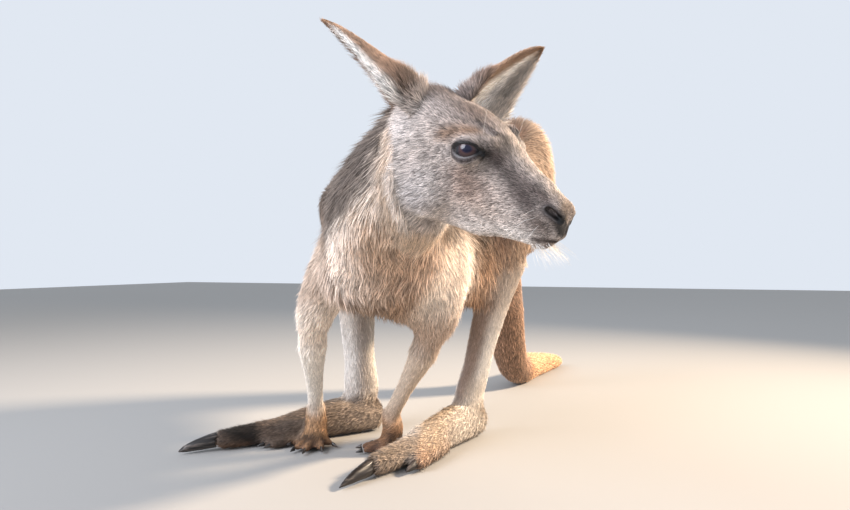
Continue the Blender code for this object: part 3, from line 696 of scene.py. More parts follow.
# painted shade: reddish brown on the front of the left thigh
shadedThighFront = of("thigh") * onSide("heel", "left") * ramp(-broadOut[:, 1], 0.3, 0.8)
over(shadedThighFront * ramp(0.13 - posedX, 0, 0.03), "84593f", 0.65)
over(of("upper_arm") * ramp(0.235 - posedZ, 0, 0.05) * onSide("elbow", "left"), "ac8a70", 0.7)
over(of("forearm") * onSide("elbow", "left"), "c2a68a", 0.7)
shoulder = of("upper_arm") + 0.6 * of("chest")
over(shoulder * (posedX < -0.04) * ramp(posedZ, 0.200, 0.235), "b89f8b", 0.75)
over(of("hand", "forearm") * ramp(0.082 - posedZ, 0, 0.055), "ad825a", 0.85)
rusty = ramp(np.sin(spots[:, 0] * 520) + np.cos(spots[:, 1] * 430 + height * 300), -0.6, 0.9)
over(of("hand") * rusty, "cf9a68", 0.5)
over(of("hand") * onSide("wrist", "left"), "7a5236", 0.75)
fingerGap = np.full(len(spots), 99.0)  # painted shade between the fingers
for side in sides:
    for finger in range(1, 6):
        ends = [at("wrist", side, -0.016), middleOf(f"hand_{side}_claw_{finger}")]
        fingerGap = np.minimum(fingerGap, nearLine(spots * 1000, np.array(ends) * 1000)[0])
over(of("hand") * ramp(fingerGap, 5.0, 8.5) * ramp(0.040 - posedZ, 0, 0.015), "2a1e18", 0.85)
over(of("hand") * ramp(0.022 - posedZ, 0, 0.018), "6a4834", 0.7)
for side, s in sides.items():
    toes, across = heading("foot", side)
    mine = onSide("heel", side)
    shank, foot, both = (of(*names) * mine for names in (["shank"], ["foot"], ["shank", "foot"]))
    facing, outer = smoothOut @ toes, smoothOut @ across
    fromHeel = (spots - at("heel", side)) @ toes
    over(shank * ramp(-facing, -0.1, 0.5), "efe8df", 0.9)
    over(shank * ramp(height, 0.12, 0.27), "bfa995", 0.8)
    over(shank * ramp(facing, 0.40, 0.90) * (0.95 if side == "left" else 0.08), "84695a", 0.85)
    if side == "right":
        # painted shade on the right shank's inner side
        over(shank * ramp(outer, 0.86, 0.99), "8d7a6e", 0.6)
    over(both * blob(spots, at("heel", side, 0.045), (0.03, 0.03, 0.022)), "7a6a60", 0.6)
    # painted top light: the foot's upward faces made paler
    over(foot * ramp(outZ, 0.2, 0.8) * ramp(fromHeel, 0.02, 0.08), "dcc3a6", 0.8)
    lateral = ramp(outer * s + 0.5 * ramp(0.07 - fromHeel, 0, 0.05), 0.1, 0.6)
    over(both * lateral * ramp(0.15 - fromHeel, 0, 0.07) * ramp(0.12 - height, 0, 0.05), "e8ddd0", 0.85)
    over(both * blob(spots, at("heel", side, 0.060) + toes * 0.022, (0.018, 0.018, 0.020)), "85756a", 0.75)
    over(foot * ramp(fromHeel, 0.15, 0.21), "a07a60", 0.6)
    over(foot * ramp(fromHeel, 0.10, 0.16) * ramp(0.035 - height, 0, 0.03), "b98c6a", 0.45)
    over(foot * ramp(0.016 - height, 0, 0.014), "40342d", 0.85)
    # painted shade round the ends of the toes and the claws' bases
    over(foot * ramp(fromHeel, 0.205, 0.225), "5d463a", 0.6)
    if side == "right":  # darker, and black at the toes
        over(foot * ramp(fromHeel, 0.06, 0.13), "4a3b32", 0.85)
        over(foot * ramp(fromHeel, -0.02, 0.07), "6b5b50", 0.6)
        toeTop = ramp(height + 0.5 * (0.235 - fromHeel), 0.010, 0.022)
        over(foot * ramp(fromHeel, 0.196, 0.211) * toeTop, "15100f", 0.93)
        over(foot * ramp(fromHeel, 0.205, 0.222) * ramp(0.015 - height, 0, 0.008), "7c5738", 0.45)
over(of("tail_1") * ramp(broadOut[:, 2], -0.2, 0.6), "6b5548", 0.75)
# painted shade on the front and underside of the tail's first two parts
for name in ("tail_1", "tail_2"):
    over(of(name) * ramp(-outY - 0.5 * outZ, -0.2, 0.5), "8a6a54", 0.6)

# face: patches with a centre and radii, and stripes with a line and a radius, in mm
faceMarks = [
    ((-58, 4, 30), (18, 30, 15), "5c504d", 0.95),
    ((-22, 14, 25), (30, 26, 17), "766257", 0.88),
    ((-66, 45, -10), (18, 14, 22), "e9e0db", 0.9),
    ((-14, 46, -42), (34, 16, 22), "ccc6c3", 0.72),
    ((-32, 44, -60), (22, 16, 15), "d0cccd", 0.6),
    ((12, 34, -32), (16, 12, 12), "a67f6b", 0.6),
    ([(-26, 41, 3), (-15, 38, 13), (-2, 34, 19)], 6.0, "8d6540", 0.9),
    ([(14, 32, 5), (22, 26, 8), (25, 19, 13), (16, 13, 20)], 6.5, "231c20", 0.95),
    ([(-6, 30, 24), (4, 24, 25), (13, 16, 24)], 6.0, "6f605c", 0.55),
    ([(20, 26, 5), (34, 22, 3), (50, 19, -1), (62, 17, -4), (70, 16, -6)], 7.5, "54443f", 0.85),
    ([(24, 27, 1), (38, 24, -5), (50, 22.5, -10), (62, 21, -16)], 6.0, "251c1c", 0.9),
    ((8, 37, -19), (18, 10, 8), "7a5f50", 0.8),
    ([(12, 2, 23), (40, 2, 14), (64, 2, 4), (76, 2, -1)], 8.0, "d3bfae", 0.7),
    ((83, 5, -6), (8, 11, 9), "ab9482", 0.85),
    ((86, 8, -18), (7, 8, 7), "8a7a70", 0.6),
    ((74, 18, -26), (13, 10, 9), "64564f", 0.9),
    ((52, 23, -14), (14, 8, 8), "4a3d3a", 0.6),
    ((28, 24, -38), (22, 12, 9), "b5a498", 0.6),
    ((18, 32, -24), (24, 12, 12), "a98d7b", 0.35),
    ([(66, 13, -46), (40, 17, -58), (8, 20, -71), (-20, 27, -79)], 10.5, "fbf4ee", 0.9),
    ((80, 0, -44), (9, 10, 7), "948275", 0.6),
]
for spot, reach, code, amount in faceMarks:
    over(onHead * (along(spot, reach) if isinstance(spot, list) else blob(hs, spot, reach)), code, amount)
over(of("neck") * along([(-30, 20, -84), (-70, 20, -110)], 26.0), "bc9f84", 0.55)
jawLine = {"ahead": (-80, -67, -58, -53, -43, -33, -28, 0, 30), "down": (0, 14, 29, 40, 60, 80, 91, 97, 97)}
underJaw = onHead * ramp(-above - np.interp(ahead, jawLine["ahead"], jawLine["down"]), 1, 9)
underJaw = underJaw * ramp(30 - ahead, 0, 20)
over(underJaw, "cbb298", 0.85)

# bare and dark edges: lids, inner corners, nostrils, lips; inside the nostrils and in the mouth's crease the
# black is partly painted shade
lidGap, lidAbove = np.full(len(spots), 99.0), np.zeros(len(spots))
for side in sides:
    near = nearEye(h, side, 26)
    gap, lidAbove[near] = lidDistance(h[near], side)
    lidGap[near] = np.minimum(lidGap[near], gap)
tear, nostril = (np.minimum(*(nearFace(h, name, side)[0] for side in sides)) for name in ("tear", "nostril"))
mouthGap, mouthAt = nearLine(hs, face["mouth"])
noseBare = blob(hs, (90, 4.5, -22), (6, 6.5, 7)) + blob(hs, (86, 10, -18), (5, 5, 5))
over(ramp(6.5 - lidGap, 0, 3.5), "5a4d4b", 0.6)
over(ramp(np.where(lidAbove > 0, 4.0, 5.5) - lidGap, 0, 2.5), "3a3236", 0.75)
over(ramp(np.where(lidAbove > 0, 3.0, 1.3) - lidGap, 0, 1.2), "141113")
# painted highlight: a pale wet line along the lower lid's rim
over(bell(lidGap - 0.8, 0.35) * (lidAbove < -10), "857c7a", 0.45)
over(ramp(5.4 - tear, 0, 2.8), "120f12")
over(onHead * ramp(7.0 - nostril, 0, 3.0), "4a4142", 0.85)
over(onHead * ramp(noseBare, 0.35, 0.6), "151214", 0.95)
# darkest inside the nostrils: black skin and painted shade in the hollow
over(onHead * ramp(4.0 - nostril, 0, 1.4), "0b090a")
over(onHead * ramp(5.0 - mouthGap, 0, 3.0) * ramp(1.05 - mouthAt, 0, 0.6), "5c4a42", 0.75)
# darkest in the mouth's crease: dark lips and painted shade between them
over(onHead * ramp(3.2 - mouthGap, 0, 1.6) * ramp(1.05 - mouthAt, 0, 0.3), "1f1817", 0.95)
bare = np.maximum.reduce([
    ramp(2.6 - lidGap, 0, 0.8), ramp(3.0 - tear, 0, 1.0), onHead * ramp(5.0 - nostril, 0, 1.2),
    onHead * ramp(noseBare, 0.45, 0.7), onHead * ramp(1.7 - mouthGap, 0, 0.7) * ramp(1.05 - mouthAt, 0, 0.5)])

# ears: brown backs with a dark base, one rim fringed white, white hair in the hollows, near the left ear's
# base painted brighter as if lit through the ear
toEdge = ramp(earAcross, np.where(earSide > 0, 0.84, 0.78), np.where(earSide > 0, 0.97, 0.86))
inLeft = inEar * (earSide > 0)
over(onEar * (1 - inEar), "b3937c")
over(onEar * (1 - inEar) * ramp(0.42 - earAlong, 0, 0.25), "5f524d", 0.85)
over(onEar * toEdge * ramp(0.95 - earAlong, 0, 0.12), "f8f4ef", 0.95)
over(inEar, "c2aea0")
over(inEar * ramp(earAcross, -0.75, -0.35) * ramp(0.95 - earAlong, 0, 0.2), "f7f3ee", 0.95)
over(inLeft * ramp(earAcross - 0.45 + 0.9 * earAlong, 0, 0.4), "c9bcae", 0.75)
band = inLeft * ramp(earAcross - 0.2, 0, 0.3) * ramp(0.9 - earAcross, 0, 0.2)
over(band * ramp(earAlong, 0.3, 0.5), "8d7f70", 0.45)
# white hair in the left ear's hollow near its base, painted brighter as if lit through the ear
band = inLeft * ramp(0.72 - earAcross - 0.7 * earAlong, 0, 0.25)
over(band * ramp(earAcross + 0.2, 0, 0.1), "fbf8f3", 0.92)
over(inLeft * ramp(-earAcross, 0.16, 0.36), "a3886f", 0.92)
over(inEar * ramp(-earAcross, 0.55, 0.85), "937764", 0.9)
over(onEar * ramp(earAlong, 0.84, 0.97), "93673f", 0.8)


# lie: which way the coat runs, before and after it's laid along the skin
def turned(amount, way):
    return amount[:, None] * np.array(way)


def laid(lie):
    return unit(lie - (lie * smoothOut).sum(1)[:, None] * smoothOut)


lie = mixed(weights, baseLies)
lie += turned(of("chest") * ramp(-outY, 0.2, 0.8), (0, -0.5, -0.3))
lie += turned(of("chest", "rump", "thigh") * ramp(outZ, 0.15, 0.8), (0, 1.1, 0.55))
lie += turned(of("rump") * ramp(-outZ, 0.2, 0.8), (0, -0.3, 0))
backFromNose = unit(h - np.array((100, 0, -12)))
backFromNose[:, 2] -= 0.75 * ramp(hs[:, 1], 10, 34) * ramp(20 - above, 0, 25)
lie += (of("head")[:, None] * backFromNose) @ turn.T
for side, s in sides.items():
    for joint, upper, name in (("heel", "knee", "shank"), ("wrist", "elbow", "forearm"),
                               ("elbow", "shoulder", "upper_arm")):
        lie += turned(of(name) * onSide(joint, side), unit(at(joint, side) - at(upper, side)))
    for joint, name, fall in (("heel", "foot", -0.25), ("wrist", "hand", -0.5)):
        lie += turned(of(name) * onSide(joint, side), heading(name, side)[0] + np.array((0, 0, fall)))
    root, axis, opening, edge = earFrame(side)
    mine, inner = (earSide == s) * onEar, (earSide == s) * inEar
    rim = ramp(np.abs(earAcross), 0.82, 0.96)
    fan = 0.75 * rim * (1 - inner * 0.4) * ramp(0.85 - earAlong, 0, 0.3) - inner * 0.45 * (1 - rim)
    toTip = axis + edge * (earAcross * fan)[:, None]
    lie = lie * (1 - mine)[:, None] + mine[:, None] * toTip
lie = spread(lie, edges, 6)
waves = np.random.default_rng(5)
shaggy = of("chest", "neck") + 0.6 * of("upper_arm") + 0.5 * of("rump") + 0.4 * of("thigh")
shaggy = 0.2 + 0.8 * np.clip(shaggy, 0, 1)
for _ in range(9):  # neighbouring tufts lean together, so that they gather into locks 16 to 36 mm across
    across = spots @ unit(waves.normal(size=3))
    wave = np.sin(across * (2 * math.pi / waves.uniform(0.016, 0.036)) + waves.uniform(0, 6.3))
    lie += np.outer(wave * shaggy * (1 - onEar), waves.normal(0, 0.115, 3))
lie = laid(lie)
lie = laid(unit(lie * (1 - underJaw[:, None]) + turned(underJaw, (-0.15, 0.25, -0.95))))

# length, width and lift of each tuft, in mm and degrees
longMm, wideMm, lift = mixed(weights, lengths), mixed(weights, widths), mixed(weights, lifts)
longMm -= 2.8 * (ramp(ahead, 5, 85) * onHead)  # short on the muzzle
longMm += 6.0 * (onHead * ramp(-ahead - 0.5 * above, 30, 90))  # long behind the cheek
longMm *= 1 - 0.55 * ramp(12 - lidGap, 0, 10)
lift += 9 * onHead * along([(66, 13, -46), (40, 16, -55), (8, 16, -66), (-20, 24, -69)], 9.0)
jawHair = [(30, 17, -66), (2, 18, -82), (-24, 18, -92), (-36, 34, -80), (-46, 46, -58), (-55, 48, -40)]
jawEdge = onHead * along(jawHair, 7.0)
lift += 10 * jawEdge - 8 * underJaw
longMm += 4 * jawEdge + 5 * underJaw
over(jawEdge, "efe8e2", 0.6)
crest = onHead * blob(hs, (-62, 10, 34), (16, 30, 14)) + onHead * blob(hs, (-70, 30, 24), (13, 14, 14))
crest = np.clip(crest, 0, 1.2)
haunchTop = of("thigh", "rump") * blob(posed, (0.10, 0.08, 0.47), (0.07, 0.10, 0.07))
lift += 28 * crest
lift += 14 * haunchTop
longMm += 4 * haunchTop
longMm += 6.0 * crest
lift += 5 * (of("neck") + 0.6 * of("chest")) * ramp(behind, -0.01, 0.03)
longEar = np.where(hollow, 7.5, 4.4 + 8.0 * ramp(0.48 - earAlong, 0, 0.25))
liftEar = np.where(hollow, 22, 15 + 18 * ramp(0.45 - earAlong, 0, 0.25))
longMm = longMm * (1 - onEar) + onEar * longEar
wideMm = wideMm * (1 - onEar) + onEar * 0.75
lift = lift * (1 - onEar) + onEar * liftEar
fringe = 3.0 * ramp(earAcross, 0, 0.5) * ramp(0.75 - earAlong, 0, 0.4)
longMm += onEar * ramp(np.abs(earAcross), 0.78, 0.95) * (0.5 + fringe)
longMm *= 1 - 0.45 * onEar * ramp(earAlong, 0.84, 0.95)
lift *= 1 - 0.6 * onEar * ramp(earAlong, 0.82, 0.95)
longMm *= 1 - 0.6 * of("hand") * ramp(0.016 - height, 0, 0.01)
dense = (1 - bare) * ramp(outZ + ramp(height, 0.004, 0.012), -0.9, -0.2)  # the soles are nearly bare
dense = np.maximum(dense, 0.15 * (1 - bare))
even = of("shank", "forearm") + 0.6 * of("upper_arm") + 0.4 * of("foot") + 0.5 * of("thigh") + 0.6 * inEar

# zones: one piece of coat for each
zoneNames = ("faceRight", "faceLeft", "ears", "neck", "chest", "arms", "rump", "thighRight", "thighLeft",
             "tail", "hindLegs")
corners = indicesOf(skin.data.polygons, 3)
zone = np.array([zoneNames.index(name) for name in zoneOfPart])[weights[corners].mean(1).argmax(1)]
for name, isLeft in (("face", aside[corners].mean(1) > 0),
                     ("thigh", spots[corners, 0].mean(1) > place(-0.01, 0, 0)[0])):
    zone[(zone == zoneNames.index(name + "Right")) & isLeft] = zoneNames.index(name + "Left")
zone[onEar[corners].mean(1) > 0.45] = zoneNames.index("ears")
a, b, c = (spots[corners[:, i]] for i in range(3))
area = np.linalg.norm(np.cross(b - a, c - a), axis=1) / 2


def store(mesh, name, kind, values, domain="POINT"):
    layer = mesh.attributes.new(name, kind, domain)
    field = {"FLOAT_VECTOR": "vector", "FLOAT_COLOR": "color"}.get(kind, "value")
    layer.data.foreach_set(field, np.asarray(values, np.int32 if kind == "INT" else np.float32).ravel())


paint = np.clip(spread(paint, edges, 1), 0, 1)
store(skin.data, "coat", "FLOAT_COLOR", np.column_stack([paint, np.ones(len(paint))]))
for name, values in (("bare", bare), ("even", np.clip(even, 0, 1)), ("lie", lie), ("out", smoothOut),
                     ("long", longMm / 1000), ("wide", wideMm / 1000), ("lift", np.radians(lift)),
                     ("dense", dense)):
    store(skin.data, name, "FLOAT" if values.ndim == 1 else "FLOAT_VECTOR", values)
store(skin.data, "zone", "INT", zone, "FACE")

# materials
print("materials")
maths, vectorMaths, noise = "ShaderNodeMath", "ShaderNodeVectorMath", "ShaderNodeTexNoise"
attribute, mapRange, mixTones = "ShaderNodeAttribute", "ShaderNodeMapRange", "ShaderNodeMix"


def feed(node, inputs):  # each value is a constant or another node's output
    for key, value in inputs.items() if isinstance(inputs, dict) else enumerate(inputs):
        if isinstance(value, bpy.types.NodeSocket):
            node.id_data.links.new(value, node.inputs[key])
        else:
            node.inputs[key].default_value = value


def added(tree, kind, inputs=(), does=None, output=0, **settings):
    node = tree.nodes.new(kind)
    for name, value in settings.items():
        setattr(node, name, value)
    if does:
        node.operation = does
    feed(node, inputs)
    return node if output is None else node.outputs[output]


def material(name, **values):
    made = bpy.data.materials.new(name)
    made.use_nodes = True
    shader = made.node_tree.nodes["Principled BSDF"]
    feed(shader, {key.replace("_", " "): value for key, value in values.items()})
    return made, made.node_tree, shader


# dry tufts: rough, with a faint sheen towards the light; each strand's own tone, a dark root and pale tip (the
# hair's banding with painted shade deep in the coat), and dark guard hairs break the markings up into hairs
fur, tree, shader = material("kangaroo fur, dry tufts", Roughness=0.62, Specular_IOR_Level=0.28,
                             Sheen_Weight=0.35, Sheen_Roughness=0.45, Sheen_Tint=colour("fff0dc"))
strand, tip, calm, rootAt, normal, tones = (
    added(tree, attribute, output=field, attribute_name=name)
    for name, field in (("strand", "Fac"), ("tip", "Fac"), ("even", "Fac"), ("rootAt", "Vector"),
                        ("out", "Vector"), ("coat", "Color")))
clump = added(tree, noise, {"Vector": rootAt, "Scale": 130.0, "Detail": 2.0})  # clumps 7.7 mm across
lock = added(tree, noise, {"Vector": rootAt, "Scale": 420.0, "Detail": 1.0})  # locks 2.4 mm across
# darker at the root and paler at the tip: the hair's banding and painted shade deep in the coat
value, *factors = (added(tree, mapRange, row) for row in (
    (tip, 0.0, 1.0, 0.36, 1.38), (strand, 0.0, 1.0, 0.40, 1.68), (clump, 0.25, 0.75, 0.66, 1.34),
    (lock, 0.3, 0.7, 0.72, 1.30)))
for factor in factors:
    value = added(tree, maths, (value, factor), "MULTIPLY")
calm = added(tree, maths, (calm, 0.62), "MULTIPLY")
rest = added(tree, maths, (1.0, calm), "SUBTRACT")
value = added(tree, maths, (value, rest), "MULTIPLY")
level = added(tree, maths, (calm, 0.92), "MULTIPLY")
value = added(tree, maths, (value, level), "ADD")
grey = added(tree, "ShaderNodeCombineColor", (value, value, value))
tones = added(tree, mixTones, {0: 1.0, 6: tones, 7: grey}, output=2, data_type="RGBA", blend_type="MULTIPLY")
guard = added(tree, maths, (strand, 17.3), "MULTIPLY")  # one strand in ten is a guard hair
guard = added(tree, maths, (guard,), "FRACT")
guard = added(tree, maths, (guard, 0.90), "GREATER_THAN")
fade = added(tree, maths, (calm, 0.7), "MULTIPLY")
fade = added(tree, maths, (0.55, fade), "SUBTRACT")
guard = added(tree, maths, (guard, fade), "MULTIPLY")
tones = added(tree, mixTones, {0: guard, 6: tones, 7: colour("2e2624")}, output=2, data_type="RGBA")
normal = added(tree, vectorMaths, {0: normal, 3: 0.62}, "SCALE")
ownNormal = added(tree, "ShaderNodeNewGeometry", output="Normal")
normal = added(tree, vectorMaths, (normal, ownNormal), "ADD")
normal = added(tree, vectorMaths, (normal,), "NORMALIZE")
feed(shader, {"Base Color": tones, "Normal": normal})

# short fur's streaks, 1.1 mm across, as noise and bump where it's coated; smoother and moist where it's bare
hide, tree, shader = material("skin under fur, with bare charcoal lids, nostrils and lips")
coatAt, tones, bareness = (
    added(tree, attribute, output=field, attribute_name=name)
    for name, field in (("coatAt", "Vector"), ("coat", "Color"), ("bare", "Fac")))
streaks = added(tree, noise, {"Vector": coatAt, "Scale": 900.0, "Detail": 3.0})
value = added(tree, mapRange, (streaks, 0.3, 0.7, 0.50, 0.92))
grey = added(tree, "ShaderNodeCombineColor", (value, value, value))
tones = added(tree, mixTones, {0: 1.0, 6: tones, 7: grey}, output=2, data_type="RGBA", blend_type="MULTIPLY")
feed(shader, {
    "Base Color": tones,
    "Roughness": added(tree, mapRange, (bareness, 0.0, 1.0, 0.85, 0.42)),
    "Normal": added(tree, "ShaderNodeBump", {"Strength": 0.5, "Distance": 0.0006, "Height": streaks}),
})

# an even pale ground, so that the shadows show where the feet stand
paper = material("matt pale backdrop paper", Base_Color=colour("9d9b98"), Roughness=0.95)[0]

smoothShaded(skin.data, hide)
print("unwrap")
bpy.context.view_layer.objects.active = skin
skin.select_set(True)
bpy.ops.object.mode_set(mode="EDIT")
bpy.ops.mesh.select_all(action="SELECT")
bpy.ops.uv.smart_project(angle_limit=math.radians(66), island_margin=0.002)
bpy.ops.object.mode_set(mode="OBJECT")
skin.data.uv_layers[0].name = "OFBake"
skin.select_set(False)
store(skin.data, "coatAt", "FLOAT_VECTOR", spots)
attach(skin, "root")
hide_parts(*fleshNodes)

# coat
print("coat")
coatSizes = {
    "middle": 0.45,  # where along its length a tuft bends, as a part of it
    "patch": 0.003,  # each tuft's width on the unwrap
    "rise": 7.0,  # degrees either way
    "roll": 28.0,
    "turn": 13.0,
    "widths": (0.7, 1.3),  # of the width and the length given for the place
    "lengths": (0.65, 1.25),
}
coatPieces = {
    # name: tuft, zone, tufts, width, length
    "coat_face_right": ("spike", "faceRight", 48500, 0.88, 1.0),
    "coat_face_left": ("spike", "faceLeft", 40000, 0.93, 1.0),
    "coat_ears": ("spike", "ears", 26000, 0.95, 1.0),
    "coat_neck": ("spike", "neck", 34000, 0.98, 0.9),
    "coat_neck_locks": ("bent", "neck", 6500, 1.15, 1.35),
    "coat_chest": ("spike", "chest", 30000, 1.08, 0.9),
    "coat_chest_locks": ("bent", "chest", 8000, 1.2, 1.4),
    "coat_arms": ("spike", "arms", 36000, 1.08, 1.0),
    "coat_arm_locks": ("bent", "arms", 3000, 1.1, 1.5),
    "coat_rump": ("spike", "rump", 24500, 1.32, 1.0),
    "coat_thigh_right": ("spike", "thighRight", 14000, 1.36, 1.0),
    "coat_thigh_left": ("spike", "thighLeft", 16500, 1.32, 1.1),
    "coat_tail": ("spike", "tail", 13000, 1.4, 1.0),
    "coat_hind_legs": ("spike", "hindLegs", 38000, 1.08, 1.0),
    "coat_foot_locks": ("bent", "hindLegs", 4500, 1.1, 1.35),
}


def tuftMesh(name, bent):  # closed and of unit length along +Y: a three-sided spike, or one with a bend in it
    points = [(-0.5, 0, 0), (0.5, 0, 0), (0, -0.03, 0.32)]
    if bent:
        m = coatSizes["middle"]
        points += [(-0.42, m, 0.01), (0.42, m, 0.01), (0, m, 0.30), (0, 1, -0.16)]
        faces = [(0, 2, 1), (0, 1, 4), (0, 4, 3), (1, 2, 5), (1, 5, 4), (2, 0, 3), (2, 3, 5), (3, 4, 6),
                 (4, 5, 6), (5, 3, 6)]
    else:
        points += [(0, 1, 0.02)]
        faces = [(0, 2, 1), (0, 1, 3), (1, 2, 3), (2, 0, 3)]
    mesh = newMesh(name, points, faces)
    with editing(mesh) as bm:
        faceOut(bm)
        layer = bm.loops.layers.uv.new("patch")
        for loop in (loop for f in bm.faces for loop in f.loops):
            x, y, z = loop.vert.co
            loop[layer].uv = (x * 0.8 + 0.5, y * 0.9 + 0.05 + z * 0.1)
    store(mesh, "tip", "FLOAT", [max(0.0, p[1]) for p in points])
    return mesh


def coatTree(tufts):  # sets tufts on the faces of one zone, lying along the coat
    tree = bpy.data.node_groups.new("coat", "GeometryNodeTree")
    for name, kind in (("Geometry", "Geometry"), ("Zone", "Int"), ("Per m2", "Float"), ("Seed", "Int"),
                       ("Thin", "Float"), ("Longer", "Float"), ("Material", "Material")):
        tree.interface.new_socket(name, in_out="INPUT", socket_type="NodeSocket" + kind)
    tree.interface.new_socket("Geometry", in_out="OUTPUT", socket_type="NodeSocketGeometry")
    start = added(tree, "NodeGroupInput", output=None).outputs
    stored = {}
    for name, kind in (("zone", "INT"), ("dense", "FLOAT"), ("lift", "FLOAT"), ("wide", "FLOAT"),
                       ("long", "FLOAT"), ("out", "FLOAT_VECTOR"), ("lie", "FLOAT_VECTOR"),
                       ("OFBake", "FLOAT_VECTOR"), ("patch", "FLOAT_VECTOR"), ("rootUv", "FLOAT_VECTOR")):
        stored[name] = added(tree, "GeometryNodeInputNamedAttribute", {"Name": name}, data_type=kind)
    angles = [math.radians(coatSizes[key]) for key in ("rise", "roll", "turn")]
    spans = [(-angle, angle) for angle in angles] + [coatSizes["widths"], coatSizes["lengths"], (0.0, 1.0)]
    rise, roll, yaw, width, length, strand = (
        added(tree, "FunctionNodeRandomValue", {2: low, 3: high, 8: seed}, output=1, data_type="FLOAT")
        for seed, (low, high) in enumerate(spans, 1))
    inZone = added(tree, "FunctionNodeCompare", {2: stored["zone"], 3: start["Zone"]}, data_type="INT",
                   operation="EQUAL")
    amount = added(tree, maths, (stored["dense"], start["Per m2"]), "MULTIPLY")
    points = added(tree, "GeometryNodeDistributePointsOnFaces",
                   {"Mesh": start["Geometry"], "Selection": inZone, "Density": amount, "Seed": start["Seed"]},
                   output="Points", distribute_method="RANDOM")
    facing = added(tree, "FunctionNodeAxesToRotation", (stored["out"], stored["lie"]), primary_axis="Z",
                   secondary_axis="Y")
    rise = added(tree, maths, (stored["lift"], rise), "ADD")
    lean = added(tree, "ShaderNodeCombineXYZ", (rise, roll, yaw))
    lean = added(tree, "FunctionNodeEulerToRotation", (lean,))
    leaned = added(tree, "FunctionNodeRotateRotation", (facing, lean), rotation_space="LOCAL")
    wide = added(tree, maths, (stored["wide"], start["Thin"]), "MULTIPLY")
    wide = added(tree, maths, (wide, width), "MULTIPLY")
    tall = added(tree, maths, (stored["long"], start["Longer"]), "MULTIPLY")
    tall = added(tree, maths, (tall, length), "MULTIPLY")
    size = added(tree, "ShaderNodeCombineXYZ", (wide, tall, wide))
    tuft = added(tree, "GeometryNodeObjectInfo", {"Object": tufts}, output="Geometry")
    tufted = added(tree, "GeometryNodeInstanceOnPoints",
                   {"Points": points, "Instance": tuft, "Rotation": leaned, "Scale": size})
    position = added(tree, "GeometryNodeInputPosition")
    for name, kind, field in (("strand", "FLOAT", strand), ("rootUv", "FLOAT_VECTOR", stored["OFBake"]),
                              ("rootAt", "FLOAT_VECTOR", position)):
        tufted = added(tree, "GeometryNodeStoreNamedAttribute",
                       {"Geometry": tufted, "Name": name, "Value": field}, data_type=kind, domain="INSTANCE")
    solid = added(tree, "GeometryNodeRealizeInstances", (tufted,))
    patch = added(tree, vectorMaths, (stored["patch"], (0.5, 0.5, 0.0)), "SUBTRACT")
    patch = added(tree, vectorMaths, {0: patch, 3: coatSizes["patch"]}, "SCALE")
    patch = added(tree, vectorMaths, (patch, stored["rootUv"]), "ADD")
    solid = added(tree, "GeometryNodeStoreNamedAttribute",
                  {"Geometry": solid, "Name": "OFBake", "Value": patch}, data_type="FLOAT2", domain="CORNER")
    solid = added(tree, "GeometryNodeSetMaterial", {"Geometry": solid, "Material": start["Material"]})
    added(tree, "NodeGroupOutput", (solid,), output=None)
    return tree


tufts = {name: newObject("tuft_" + name, tuftMesh(name, name == "bent")) for name in ("spike", "bent")}
coatTrees = {name: coatTree(tuft) for name, tuft in tufts.items()}
for seed, (name, (shape, zoneName, count, thin, longer)) in enumerate(coatPieces.items(), 11):
    index = zoneNames.index(zoneName)
    total = (area[zone == index] * dense[corners].mean(1)[zone == index]).sum()
    obj = newObject(name, skin.data)
    modifier = modify(obj, "NODES", node_group=coatTrees[shape])
    values = {"Zone": index, "Per m2": count / total, "Seed": seed, "Thin": thin, "Longer": longer,
              "Material": fur}
    for item in coatTrees[shape].interface.items_tree:
        if item.in_out == "INPUT" and item.name in values:
            modifier[item.identifier] = values[item.name]
    settled(obj)
    for spare in ("lie", "long", "wide", "lift", "dense", "zone", "bare", "patch", "rootUv", "coatAt"):
        if spare in obj.data.attributes:
            obj.data.attributes.remove(obj.data.attributes[spare])
    obj.data.name = name
    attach(obj, "root")
    print("  ", name, len(obj.data.polygons), "triangles")
for obj in tufts.values():
    bpy.data.objects.remove(obj)
for name in ("lie", "out", "long", "wide", "lift", "dense", "zone"):
    skin.data.attributes.remove(skin.data.attributes[name])

# eyes
print("eyes, claws and hairs")
# the pupil's blue tint is a painted reflection of the sky
irisTones = ((0.36, "11132a"), (0.46, "2c2130"), (0.62, "46302f"), (0.84, "2b2026"), (0.96, "121016"))
# a blue-black oval pupil whose blue is a painted reflection of the sky, a brown iris with fine rays and a dark
# edge; the clear coat gives the wet highlight
eyeball, tree, shader = material("moist eye, brown iris under a clear cornea", Roughness=0.25,
                                 Specular_IOR_Level=0.05, Coat_Weight=0.75, Coat_Roughness=0.02)
fromPupil = added(tree, attribute, output="Fac", attribute_name="fromPupil")
rays = added(tree, attribute, output="Vector", attribute_name="rays")
rays = added(tree, noise, {"Vector": rays, "Scale": 9.0, "Detail": 2.0})
rays = added(tree, maths, (rays, 0.5), "SUBTRACT")
rays = added(tree, maths, (rays, 0.10), "MULTIPLY")
ringed = added(tree, maths, (fromPupil, rays), "ADD")
bands = added(tree, "ShaderNodeValToRGB", (ringed,), output=None)
stops = bands.color_ramp.elements
for i, (position, code) in enumerate(irisTones):
    stop = stops[i] if i < 2 else stops.new(position)
    stop.position, stop.color = position, colour(code)
feed(shader, {"Base Color": bands.outputs[0]})

